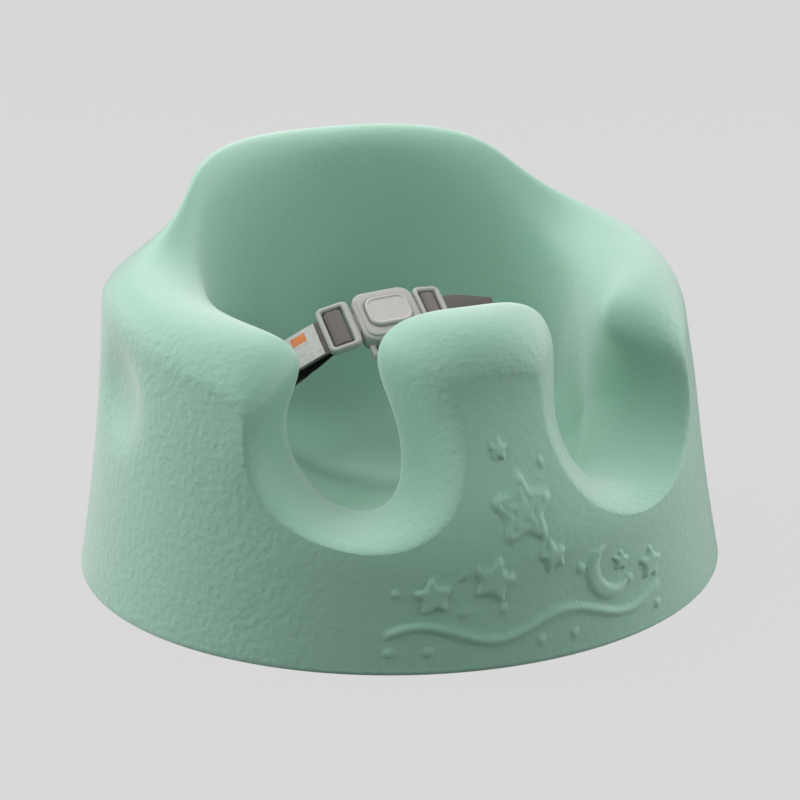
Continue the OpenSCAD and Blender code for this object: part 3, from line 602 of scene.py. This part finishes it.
# the seam between the slope and the bucket's wall is eased as well
seam_share = np.exp(-((np.arange(1, inner_rows - 1) - slope_steps) / 5.0) ** 2)[None, :, None]
for _ in range(seam_passes):
    inside[:, 1:-1] += 0.5 * seam_share * ((inside[:, 2:] + inside[:, :-2]) / 2 - inside[:, 1:-1])
points = np.vstack([[[0, 0, 0]], grid.reshape(-1, 3), [pan_middle]])
skins = np.concatenate([[0.5], skin.reshape(-1), [0.35]])
last = len(points) - 1


def at_grid(i, j):
    return 1 + (i % cols) * rows + j


faces = []
for i in range(cols):
    faces.append((0, at_grid(i + 1, 0), at_grid(i, 0)))
    for j in range(rows - 1):
        faces.append((at_grid(i, j), at_grid(i + 1, j), at_grid(i + 1, j + 1), at_grid(i, j + 1)))
    faces.append((last, at_grid(i, rows - 1), at_grid(i + 1, rows - 1)))

body = put("foam_skin", points, faces, [foam])

# anchor pockets in the underside, each with the webbing's channel above it
web_w, web_t, layer_gap = 25.0, 1.6, 0.3
pin_d, plate_t, pocket_depth = 5.0, 4.0, 16.0
layer_off = (web_t + layer_gap) / 2
web_gap = 0.6
channel_w, channel_t = web_w + 2 * web_gap, 2 * web_t + layer_gap + 2 * web_gap
side_anchor_x, crotch_anchor_y = 140.0, 58.0
slot_x, slot_z, crotch_slot_z = 95.0, 92.0, pan_h + 14.0
channel_lean = math.degrees(math.atan2(side_anchor_x - slot_x, slot_z - pocket_depth))
channel_l = math.hypot(side_anchor_x - slot_x, slot_z - pocket_depth)


def box_points(lo, hi):
    ends = list(zip(lo, hi))
    return np.array([(x, y, z) for x in ends[0] for y in ends[1] for z in ends[2]], float)


def anchor_frame(which, pts):
    if which == "crotch":
        return pts @ turn(2, 90).T + [0, -crotch_anchor_y, 0]
    pts = pts + [side_anchor_x, 0, 0]
    return pts * [-1, 1, 1] if which == "left" else pts


cutters = []
pocket_x, pocket_y, past_slot = 11, 22, 14
for which, lean, length in (("left", channel_lean, channel_l), ("right", channel_lean, channel_l),
                            ("crotch", 0, crotch_slot_z - pocket_depth)):
    pocket = box_points((-pocket_x, -pocket_y, -1), (pocket_x, pocket_y, pocket_depth))
    cutters.append(anchor_frame(which, pocket))
    channel = box_points((-channel_t / 2, -channel_w / 2, -3),
                         (channel_t / 2, channel_w / 2, length + past_slot))
    cutters.append(anchor_frame(which, channel @ turn(1, -lean).T + [0, 0, pocket_depth]))
cut(body, cutters)
mesh = body.data
mesh.polygons.foreach_set("use_smooth", [True] * len(mesh.polygons))
mesh.set_sharp_from_angle(angle=math.radians(50))
# the cuts lose the skin's values, so each vertex takes its nearest point's
near = KDTree(len(points))
for i, p in enumerate(points * mm):
    near.insert(p, i)
near.balance()
field = mesh.attributes.get("skin") or mesh.attributes.new("skin", "FLOAT", "POINT")
field.data.foreach_set("value", [float(skins[near.find(v.co)[1]]) for v in mesh.vertices])
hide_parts("foam_body")
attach(body, "seat")

# ---- Buckle ----------------------------------------------------
buckle_l, buckle_w, shell_corner = 36.7, 36.9, 8.0
split_z, floor_z, back_t = -6.2, -10.9, 6.5
tab_w, tab_end = 14.0, 6.35


def stack(levels, **kw):
    """Levels of (length, width, corner, height) skinned into one body."""
    return loft([flat_ring(ring_shape(l, w, max(r, 0.2)), z) for l, w, r, z in levels], **kw)


def rounded_edge(l, w, r, z, size, up, steps=5):
    """Levels over an edge of radius size that is rounded up (1) or down (-1) to height z."""
    out = []
    for k in range(steps + 1):
        a = math.radians(90 * k / steps)
        d = size * (1 - math.cos(a))
        out.append((l - 2 * d, w - 2 * d, r - d, z - up * size * (1 - math.sin(a))))
    return out


front = ([(31.1, 31.3, 5.2, split_z), (buckle_l, buckle_w, shell_corner, split_z)]
         + rounded_edge(buckle_l, buckle_w, shell_corner, -1.7, 1.15, 1)
         + [(33.6, 33.8, 6.4, -1.55), (33.1, 33.3, 6.2, -1.35)]
         + rounded_edge(32.9, 33.1, 6.1, 0.0, 1.0, 1)
         + [(29.0, 26.0, 6.8, 0.12), (27.8, 22.8, 7.2, 0.1), (27.0, 22.0, 6.9, -0.1),
            (26.6, 21.6, 6.8, -0.5), (26.6, 21.6, 6.8, -1.8), (31.1, 31.3, 5.2, -1.8)])
pts, fcs = stack(front, closed=True)
front_shell = put("buckle_front", on_buckle(pts), fcs, [buckle_plastic], sharp=38)

back = ([(buckle_l, buckle_w, shell_corner, split_z)]
        + rounded_edge(buckle_l, buckle_w, shell_corner, split_z - back_t, 1.4, -1)
        + [(20, 20, 4, split_z - back_t)])
pts, fcs = stack(back[::-1])
hollow = [(buckle_l, buckle_w, shell_corner, split_z), (33.1, 33.3, 6.2, split_z),
          (33.1, 33.3, 6.2, floor_z + 0.4), (32.3, 32.5, 5.8, floor_z), (10, 10, 2, floor_z)]
inner_pts, inner_fcs = stack(hollow)
m = len(inner_pts) // len(hollow)
fcs.append(tuple(range(m - 1, -1, -1)))
inner_fcs.append(tuple((len(hollow) - 1) * m + k for k in range(m)))
pts, fcs = join_parts([(pts, fcs), (inner_pts, inner_fcs)])


def rod(start, end, radius, sides=20, round_end=0.35):
    """Round bar between two points, with eased ends."""
    start, end = np.array(start, float), np.array(end, float)
    way = end - start
    length = np.linalg.norm(way)
    way /= length
    side = np.cross(way, [0, 0, 1.0] if abs(way[2]) < 0.9 else [1.0, 0, 0])
    side /= np.linalg.norm(side)
    up = np.cross(way, side)
    rings = []
    eased, tip = round_end * 0.3, radius - round_end
    for d, r in ((0, tip), (eased, radius - eased), (round_end, radius),
                 (length - round_end, radius), (length - eased, radius - eased), (length, tip)):
        rings.append(round_ring(start + way * d, side, up, r, sides))
    return loft(rings, caps=(True, True))


def soft_box(lo, hi, r=0.4):
    """Box with eased upright edges and rims."""
    l, w = hi[0] - lo[0], hi[1] - lo[1]
    middle = [(lo[0] + hi[0]) / 2, (lo[1] + hi[1]) / 2, 0]
    rings = []
    for inset, z in ((2 * r, lo[2]), (0.6 * r, lo[2] + 0.3 * r), (0, lo[2] + r),
                     (0, hi[2] - r), (0.6 * r, hi[2] - 0.3 * r), (2 * r, hi[2])):
        a, b = l - inset, w - inset
        corner = max(min(r, a / 2 - .01, b / 2 - .01), .05)
        rings.append(flat_ring(ring_shape(a, b, corner, 3), z) + middle)
    return loft(rings, caps=(True, True))


# loop for the crotch webbing: a bar between two lugs
loop_bar_d, loop_bar_y, loop_bar_z = 3.6, -23.35, -8.8
lug_in, lug_out, lug_r = 13.5, 16.5, 2.5
bar_end = lug_in + 1
lugs = [rod((-bar_end, loop_bar_y, loop_bar_z), (bar_end, loop_bar_y, loop_bar_z), loop_bar_d / 2)]
for s in (-1, 1):
    lugs.append(rod((s * lug_in, loop_bar_y, loop_bar_z), (s * lug_out, loop_bar_y, loop_bar_z),
                    lug_r, 28, 0.5))
    x0, x1 = sorted((s * lug_in, s * lug_out))
    lugs.append(soft_box((x0, loop_bar_y, loop_bar_z - lug_r),
                         (x1, -buckle_w / 2 + 1, loop_bar_z + lug_r), 0.5))
pts, fcs = join_parts([(pts, fcs)] + lugs)
back_shell = put("buckle_back", on_buckle(pts), fcs, [buckle_plastic], sharp=38)

button = ([(28.4, 23.4, 7.7, -2.9), (28.4, 23.4, 7.7, -2.15), (26.0, 21.0, 6.5, -2.1),
           (26.0, 21.0, 6.5, 0.2)]
          + rounded_edge(26.0, 21.0, 6.5, 2.15, 0.95, 1)
          + [(23.5, 18.5, 5.25, 2.2), (22.9, 17.9, 4.95, 2.12), (22.5, 17.5, 4.75, 1.86),
             (22.1, 17.1, 4.6, 1.7), (20.6, 15.6, 4.2, 1.66), (14, 10, 3, 1.72), (6, 4, 1.2, 1.76)])
pts, fcs = stack(button, caps=(True, True))
button_piece = put("release_cap", on_buckle(pts), fcs, [button_plastic], sharp=42)

for piece, node, slot, rides in ((front_shell, "buckle_front_shell", "buckle_plastic", "seat"),
                                 (back_shell, "buckle_back_shell", "buckle_plastic", "seat"),
                                 (button_piece, "release_button", "button_plastic", "release_button")):
    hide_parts(node)
    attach(piece, rides)

# ---- Tongues ---------------------------------------------------
hinge_x, frame_low, window_w, rail = buckle_l / 2 + 1.2, -1.3, web_w + 2.6, 3.1
bar_t, bar_z = 3.0, -0.3


def on_tongue(side, bend, p):
    """Points (x, y, z) of a tongue's own frame in the shared frame."""
    p = np.asarray(p, float)
    c, s = math.cos(math.radians(bend)), math.sin(math.radians(bend))
    x, y, z = p[..., 0], p[..., 1], p[..., 2]
    return on_buckle(np.stack([side * (hinge_x + x * c + z * s), y, split_z - x * s + z * c], -1))


def frame_band(outer, inner, profile):
    """Band between two outlines; profile is a closed list of (share from outer to inner, height)."""
    return loft([flat_ring(outer + (inner - outer) * f, z) for f, z in profile], closed=True)


# profile of the tongues' frames: rounded above, flatter below
pillow = [(0.0, 1.2), (0.0, 2.3), (0.03, 2.8), (0.10, 3.25), (0.22, 3.55), (0.36, 3.68), (0.5, 3.72),
          (0.64, 3.68), (0.78, 3.55), (0.90, 3.25), (0.97, 2.8), (1.0, 2.3), (1.0, 1.2), (1.0, -0.2),
          (0.97, -0.7), (0.88, -1.1), (0.7, -1.28), (0.3, -1.28), (0.12, -1.1), (0.03, -0.7), (0.0, -0.2)]


def bar_width(window):
    """Width of a tongue's bar: what the window leaves beside two layers of webbing."""
    return window - 2 * (layer_gap + web_t) - 0.9


def tongue(name, side, neck, window, bend):
    long = neck + window + rail
    outer = ring_shape(long, window_w + 2 * rail, 4.0, 9, long / 2)
    inner = ring_shape(window, window_w, 1.6, 9, neck + window / 2)
    parts = [frame_band(outer, inner, pillow)]
    # flat bar with rounded edges, sunk into the rails
    flat = (bar_width(window) - bar_t) / 2
    edge = [(math.cos(a) * bar_t / 2 + flat * (1 if math.cos(a) > 0 else -1), math.sin(a) * bar_t / 2)
            for a in np.radians(np.arange(7.5, 360, 15))]
    rings = [np.array([(neck + window / 2 + x, y, bar_z + z) for x, z in edge])
             for y in np.linspace(-window_w / 2 - 1, window_w / 2 + 1, 9)]
    parts.append(loft(rings[::-1], caps=(True, True)))
    pts, fcs = join_parts(parts)
    pts = on_tongue(side, bend, pts)
    # tab inside the buckle, with the catch's window, and the root that joins it to the frame
    reach = hinge_x + 2 - tab_end
    tab_out = ring_shape(reach, tab_w, 0.8, 3, tab_end + reach / 2)
    tab_in = ring_shape(5.5, 8, 0.5, 3, tab_end + 2.6 + 2.75)
    tab_pts, tab_fcs = frame_band(tab_out, tab_in, [(0, -0.7), (0, 0.7), (0.08, 1), (0.92, 1), (1, 0.7),
                                                    (1, -0.7), (0.92, -1), (0.08, -1)])
    root_levels = [(3.4, 20.0, 1.0, -1.9), (4.2, 22.0, 1.4, -1.3), (4.2, 22.4, 1.4, 0.4),
                   (3.4, 21.0, 1.2, 1.3), (2.2, 19.0, 0.9, 1.6)]
    root_rings = [flat_ring(ring_shape(l, w, r, 5, hinge_x + (1.35 if l > 4 else 1.25)), z)
                  for l, w, r, z in root_levels]
    root_pts, root_fcs = loft(root_rings, caps=(True, True))
    flat_pts, flat_fcs = join_parts([(tab_pts, tab_fcs), (root_pts, root_fcs)])
    flat_pts = on_buckle(flat_pts * [side, 1, 1] + [0, 0, split_z])
    pts, fcs = join_parts([(pts, fcs), (flat_pts, flat_fcs)])
    if side < 0:
        fcs = [f[::-1] for f in fcs]
    return put(name, pts, fcs, [buckle_plastic], sharp=40)


left_neck, left_window, left_bend = 4.1, 12.7, 13.5
right_neck, right_window, right_bend = 2.8, 11.0, 9.0
for name, side, neck, window, bend in (("left_tongue", -1, left_neck, left_window, left_bend),
                                       ("right_tongue", 1, right_neck, right_window, right_bend)):
    piece = tongue(name + "_moulding", side, neck, window, bend)
    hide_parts(name)
    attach(piece, name)

# ---- Webbing ---------------------------------------------------
def unit(v):
    return v / np.linalg.norm(v)


def heading(s, i):
    """Direction of a line of stations at station i."""
    a, b, c = s[max(0, i - 1)][0], s[i][0], s[min(len(s) - 1, i + 1)][0]
    return (c - a) / (np.linalg.norm(c - b) + np.linalg.norm(b - a))


def strap_at(s, i, t):
    """Place, width direction and normal at share t of the way from station i to the next."""
    p, q = s[i][0], s[i + 1][0]
    h = np.linalg.norm(q - p)
    a, b = heading(s, i), heading(s, i + 1)
    place = (p * (1 + 2 * t) * (1 - t) ** 2 + a * h * t * (1 - t) ** 2
             + q * t * t * (3 - 2 * t) + b * h * t * t * (t - 1))
    along = unit((q - p) * 6 * t * (1 - t) + a * h * (1 - t) * (1 - 3 * t) + b * h * t * (3 * t - 2))
    e = t * t * (3 - 2 * t)
    across = s[i][1] * (1 - e) + s[i + 1][1] * e
    side = unit(across - along * (across @ along))
    return place, side, np.cross(along, side)


strap_steps = 6


def strap_line(s):
    inner = [strap_at(s, i, k / strap_steps) for i in range(len(s) - 1) for k in range(strap_steps)]
    return inner + [strap_at(s, len(s) - 2, 1)]


pin_loop = pin_d / 2 + layer_gap + web_t / 2
pin_z = pocket_depth - plate_t - pin_loop - web_t / 2 - 0.2
turn_r = web_t / 2 + 0.4
bar_loop = bar_t / 2 + layer_gap + web_t / 2


def arc(middle, r, angles):
    """Points on a circle, in a flat plane."""
    return [middle + r * np.array([math.cos(a), math.sin(a)]) for a in map(math.radians, angles)]


def anchor_run(lean, length):
    """Webbing from its free end in the channel, round the anchor's pin and up to the slot."""
    c, s = math.cos(math.radians(lean)), math.sin(math.radians(lean))
    up, out, top = np.array([-s, c]), np.array([c, s]), np.array([0, pocket_depth])
    plate_z = pocket_depth - plate_t / 2
    return ([top + up * 15 + out * layer_off, top + up * 3 + out * layer_off,
             np.array([layer_off + 0.6, plate_z])]
            + arc([0, pin_z], pin_loop, range(20, -221, -40))
            + [np.array([-layer_off - 0.6, plate_z]), top + up * 3 - out * layer_off]
            + [top + up * length * t - out * layer_off * (1 - 0.5 * t) for t in (0.5, 1)])


def free_run(start, out, to, back, width_a, width_b, reach=17):
    """Stations between the slot and the harness, where the webbing hangs freely and turns."""
    return [(bezier(start, start + out * reach, to + back * reach, to, t), width_a * (1 - t) + width_b * t)
            for t in (0.2, 0.4, 0.6, 0.8)]


def lap_stations(side, neck, window, bend, main_drop, tail_drop, twist, tail):
    """Whole lap strap as (place, width direction): anchor, free run, round the bar, free end."""
    bx, end = neck + window / 2, neck + window + rail
    edge = (bar_width(window) - bar_t) / 2
    rim = bx + edge + bar_loop + turn_r

    def turned(a):
        return buckle_turn @ np.array([0, math.cos(math.radians(a)), math.sin(math.radians(a))])

    def place(p):
        return on_tongue(side, bend, (p[0], 0, p[1]))
    low = frame_low - layer_gap - web_t / 2
    under = low - web_t - layer_gap - 0.2

    def fall(a):
        return np.array([math.cos(math.radians(a)), -math.sin(math.radians(a))])
    tail_from, main_from = np.array([end + 1.4, low]), np.array([end - 2, under - 0.3])
    level = np.array([0, 1.0, 0])
    anchor = [(np.array([side * (side_anchor_x + p[0]), 0, p[1]]), level)
              for p in anchor_run(channel_lean, channel_l)]
    joined = place(main_from + fall(main_drop) * 12)
    lean = math.radians(channel_lean)
    run = free_run(anchor[-1][0], np.array([-side * math.sin(lean), 0, math.cos(lean)]), joined,
                   unit(joined - place(main_from)), level, turned(twist))
    across = buckle_turn @ level
    middle = ([main_from, np.array([bx + edge + 2, under])]
              + arc([bx - edge, bar_z], bar_loop, range(270, 89, -30))
              + arc([bx + edge, bar_z], bar_loop, range(90, -1, -30))
              + arc([rim, low + turn_r], turn_r, range(180, 271, 30)) + [tail_from - [2, 0], tail_from])
    return (anchor + run
            + [(joined, turned(twist)), (place(main_from + fall(main_drop) * 5), turned(twist / 2))]
            + [(place(p), across) for p in middle]
            + [(place(tail_from + fall(tail_drop) * d), turned(twist)) for d in (8, tail)])


def strip(name, line, w, t, upper, lower, lift=0.0, sign=1):
    """Woven strip with rounded selvedges. Its uv runs across and along it in millimetres from 50."""
    # points of the section: place across, height, uv across, and 0 above or 1 below
    section = []
    half_w, half_t = (w - t) / 2, t / 2
    for s, angles in ((1, (60, 20, -20, -60)), (-1, (240, 200, 160, 120))):
        section += [(s * x * (w - t), s * half_t, s * x * w, int(s < 0)) for x in np.linspace(-0.5, 0.5, 9)]
        for a in map(math.radians, angles):
            section.append((s * half_w + half_t * math.cos(a), half_t * math.sin(a), s * w / 2,
                            int(math.sin(a) < 0)))
    rings, uvs, travelled, before = [], [], 0.0, None
    for place, side, normal in line:
        if before is not None:
            travelled += np.linalg.norm(place - before)
        before = place
        rings.append([place + side * x + normal * (lift + z) for x, z, _, _ in section])
        uvs += [(c + 50, travelled + 50) for _, _, c, _ in section]
    pts, fcs = loft([np.array(r) for r in rings], caps=(True, True))
    fcs = [f[::-1] for f in fcs]
    kind = [point[3] for point in section] * (len(rings) - 1) + [0, 0]
    if sign < 0:
        kind = [1 - k for k in kind]
    return put(name, pts, fcs, [upper, lower], kind, sharp=55, uv=uvs)


def stitches(name, places, body, material, length=1.9, r=0.16):
    """Short threads, each lying along its way just proud of the cloth."""
    parts = []
    for place, way, normal in places:
        side = np.cross(way, normal)
        rings = []
        for f, rr, h in ((-0.5, 0.25, -0.6), (-0.38, 0.8, 0.1), (0, 1.0, 0.6),
                         (0.38, 0.8, 0.1), (0.5, 0.25, -0.6)):
            rings.append(round_ring(place + way * f * length + normal * h * r, side, normal, rr * r, 7))
        parts.append(loft(rings, caps=(True, True)))
    pts, fcs = join_parts(parts)
    piece = put(name, pts, fcs, [material], uv=np.zeros((len(pts), 2)) + 3)
    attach(piece, body)


left_line = lap_stations(-1, left_neck, left_window, left_bend,
                         main_drop=32, tail_drop=18, twist=0, tail=27)
right_line = lap_stations(1, right_neck, right_window, right_bend,
                          main_drop=17, tail_drop=11, twist=20, tail=34)
loop = loop_bar_d / 2 + layer_gap + web_t / 2
loop_bar = on_buckle([0, loop_bar_y, loop_bar_z])
crotch_slot = np.array([0, -crotch_anchor_y, crotch_slot_z])
level = np.array([1.0, 0, 0])
across = buckle_turn @ level
away = unit(crotch_slot - loop_bar)
off = unit(np.cross(across, away))
anchor = [(np.array([0, -crotch_anchor_y - p[0], p[1]]), level)
          for p in anchor_run(0, crotch_slot_z - pocket_depth)]
joined = loop_bar + away * 9 - off * layer_off
round_bar = [loop_bar + loop * (away * math.cos(a) + off * math.sin(a))
             for a in map(math.radians, range(-60, -301, -30))]
crotch_line = (anchor + free_run(anchor[-1][0], np.array([0, 0, 1.0]), joined, away, level, across)
               + [(joined, across)] + [(p, across) for p in round_bar]
               + [(loop_bar + away * d + off * layer_off, across) for d in (9, 21)])

tail_stations = 3
for side, sign, line in (("left", -1, left_line), ("right", 1, right_line)):
    # the run from the anchor to the tongue is baked in place, and the free end moves with the tongue
    whole = strap_line(line)
    split = (len(line) - tail_stations) * strap_steps
    run = strip(side + "_lap_strap_run", whole[:split + 1], web_w, web_t, grey_web, black_web, sign=sign)
    tail = strip(side + "_lap_strap_tail", whole[split:], web_w, web_t, grey_web, black_web, sign=sign)
    for piece in (run, tail):
        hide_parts(side + "_lap_strap")
    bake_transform(run)
    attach(tail, side + "_tongue")

piece = strip("crotch_strap_weave", strap_line(crotch_line), web_w, web_t, grey_web, black_web)
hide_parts("crotch_strap")
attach(piece, "seat")

# blank satin tag sewn on the left strap's free end
tag_l, tag_w, tag_t, tag_gap, tag_from = 20, 24, 0.6, 0.1, 1
start, width_way = left_line[-tail_stations]
way = unit(left_line[-1][0] - start)
side = unit(width_way - way * (width_way @ way))
normal = np.cross(way, side)
tag_line = [(start + way * d, side, normal) for d in np.linspace(tag_from, tag_from + tag_l, 9)]
tag = strip("satin_tag", tag_line, tag_w, tag_t, satin, satin, lift=-(web_t + tag_t) / 2 - tag_gap)
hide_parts("left_tag")
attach(tag, "left_tongue")

# rows of stitches: near both ends of the tag and at the right strap's hem
face = -normal * (web_t / 2 + 0.72)
places = [(start + way * d + side * c + face, side, -normal)
          for d in (2.4, 19.6) for c in np.linspace(-10.4, 10.4, 9)]
stitches("tag_stitches", places, "left_tongue", thread)
end, before = right_line[-1], right_line[-2]
way = unit(end[0] - before[0])
side = unit(end[1] - way * (end[1] @ way))
normal = np.cross(way, side)
face = normal * (web_t / 2 + 0.02)
places = [(end[0] - way * d + side * c + face, side, normal)
          for d in (3.2, 9.5) for c in np.linspace(-10.6, 10.6, 10)]
stitches("hem_stitches", places, "right_tongue", grey_web)

# coil spring under the button, a fuller form of the solid
coil_low, coil_high, coil_turns, coil_r, wire_r = floor_z + 0.52, -3.42, 5, 3.5, 0.4
turn_steps, press_depth = 40, 2
climb = (coil_high - coil_low) / coil_turns / (2 * math.pi)
rings = []
for k in range(coil_turns * turn_steps + 1):
    a = 2 * math.pi * k / turn_steps
    height = coil_low + (coil_high - coil_low) * k / (coil_turns * turn_steps)
    out = np.array([math.cos(a), math.sin(a), 0])
    way = unit(np.array([-math.sin(a) * coil_r, math.cos(a) * coil_r, climb]))
    up = np.cross(out, way)
    rings.append(round_ring(out * coil_r + [0, 0, height], out, up, wire_r, 12))
pts, fcs = loft(rings, caps=(True, True))
coil = put("button_coil", on_buckle(pts), fcs, [steel], sharp=60)
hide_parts("button_spring")
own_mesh(coil)
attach(coil, "seat")

# ---- Small metal and plastic pieces keep their solids ----------
for name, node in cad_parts.items():
    if name.endswith("_anchor_plate"):
        finish = anchor_plastic
    elif name.endswith("_anchor_pin") or name.endswith("_spring"):
        finish = steel
    else:
        continue
    node.data.materials.clear()
    node.data.materials.append(finish)

# ---- Stage and light -------------------------------------------
def plain_to_camera(tree, output, lit, plain, part):
    """Mixes in the plain shader, by the given part, for camera, glossy and transmission rays."""
    def math_node(operation, *values):
        node = tree.nodes.new("ShaderNodeMath")
        node.operation = operation
        for socket, value in zip(node.inputs, values):
            if isinstance(value, float):
                socket.default_value = value
            else:
                tree.links.new(value, socket)
        return node.outputs[0]
    ray = tree.nodes.new("ShaderNodeLightPath").outputs
    bounced = math_node("MAXIMUM", ray["Is Glossy Ray"], ray["Is Transmission Ray"])
    seen = math_node("MAXIMUM", ray["Is Camera Ray"], bounced)
    mixed = tree.nodes.new("ShaderNodeMixShader")
    tree.links.new(math_node("MULTIPLY", seen, part), mixed.inputs[0])
    tree.links.new(lit.outputs[0], mixed.inputs[1])
    tree.links.new(plain.outputs[0], mixed.inputs[2])
    tree.links.new(mixed.outputs[0], output.inputs[0])


world = bpy.data.worlds.new("studio")
scene.world = world
world.use_nodes = True
tree = world.node_tree
tree.nodes.clear()
lit, plain = tree.nodes.new("ShaderNodeBackground"), tree.nodes.new("ShaderNodeBackground")
lit.inputs["Color"].default_value = (0.97, 1.0, 1.0, 1)
lit.inputs["Strength"].default_value = 0.03
plain.inputs["Color"].default_value = linear(0.851, 0.851, 0.851)
plain_to_camera(tree, tree.nodes.new("ShaderNodeOutputWorld"), lit, plain, 1.0)

# the floor glows as pale as the background, and the rest of it keeps the seat's shadow
floor_mat = bpy.data.materials.new("pale_floor")
floor_mat.use_nodes = True
tree = floor_mat.node_tree
tree.nodes.clear()
matt, glow = tree.nodes.new("ShaderNodeBsdfDiffuse"), tree.nodes.new("ShaderNodeEmission")
matt.inputs["Color"].default_value = linear(0.48, 0.48, 0.48)
glow.inputs["Color"].default_value = linear(0.868, 0.868, 0.868)
plain_to_camera(tree, tree.nodes.new("ShaderNodeOutputMaterial"), matt, glow, 0.93)
floor_half, floor_top = 9000, -0.3
corners = [(x * floor_half, y * floor_half, floor_top) for x, y in ((-1, -1), (1, -1), (1, 1), (-1, 1))]
floor = put("floor", corners, [(0, 1, 2, 3)], [floor_mat])


def area_light(name, place, size, power, colour=(1, 1, 1), aim=(0, 0, 0.1)):
    lamp = bpy.data.lights.new(name, "AREA")
    lamp.shape = "DISK"
    lamp.size = size
    lamp.energy = power
    lamp.color = colour
    obj = bpy.data.objects.new(name, lamp)
    obj.location = place
    obj.rotation_euler = (Vector(aim) - Vector(place)).to_track_quat("-Z", "Y").to_euler()
    scene.collection.objects.link(obj)


warm = (1.0, 0.955, 0.97)
area_light("top_back", (-0.1, 0.9, 1.5), 1.4, 16.0, warm)
area_light("top_left", (-1.0, 0.1, 1.4), 1.6, 13.2, warm)
area_light("top_right", (1.0, 0.1, 1.4), 1.6, 5.4, warm)
area_light("left_back", (-1.4, 1.0, 0.8), 1.0, 15.5, (1.0, 0.965, 0.98))
area_light("left_front", (-1.5, -0.9, 0.8), 1.0, 5.6)
area_light("right_side", (1.75, 0.2, 0.7), 1.1, 10.0)
area_light("right_front", (1.4, -1.1, 0.8), 1.0, 12.2)
area_light("low_right", (1.7, -0.3, 0.25), 0.8, 2.4)
scene.view_settings.view_transform = "Standard"
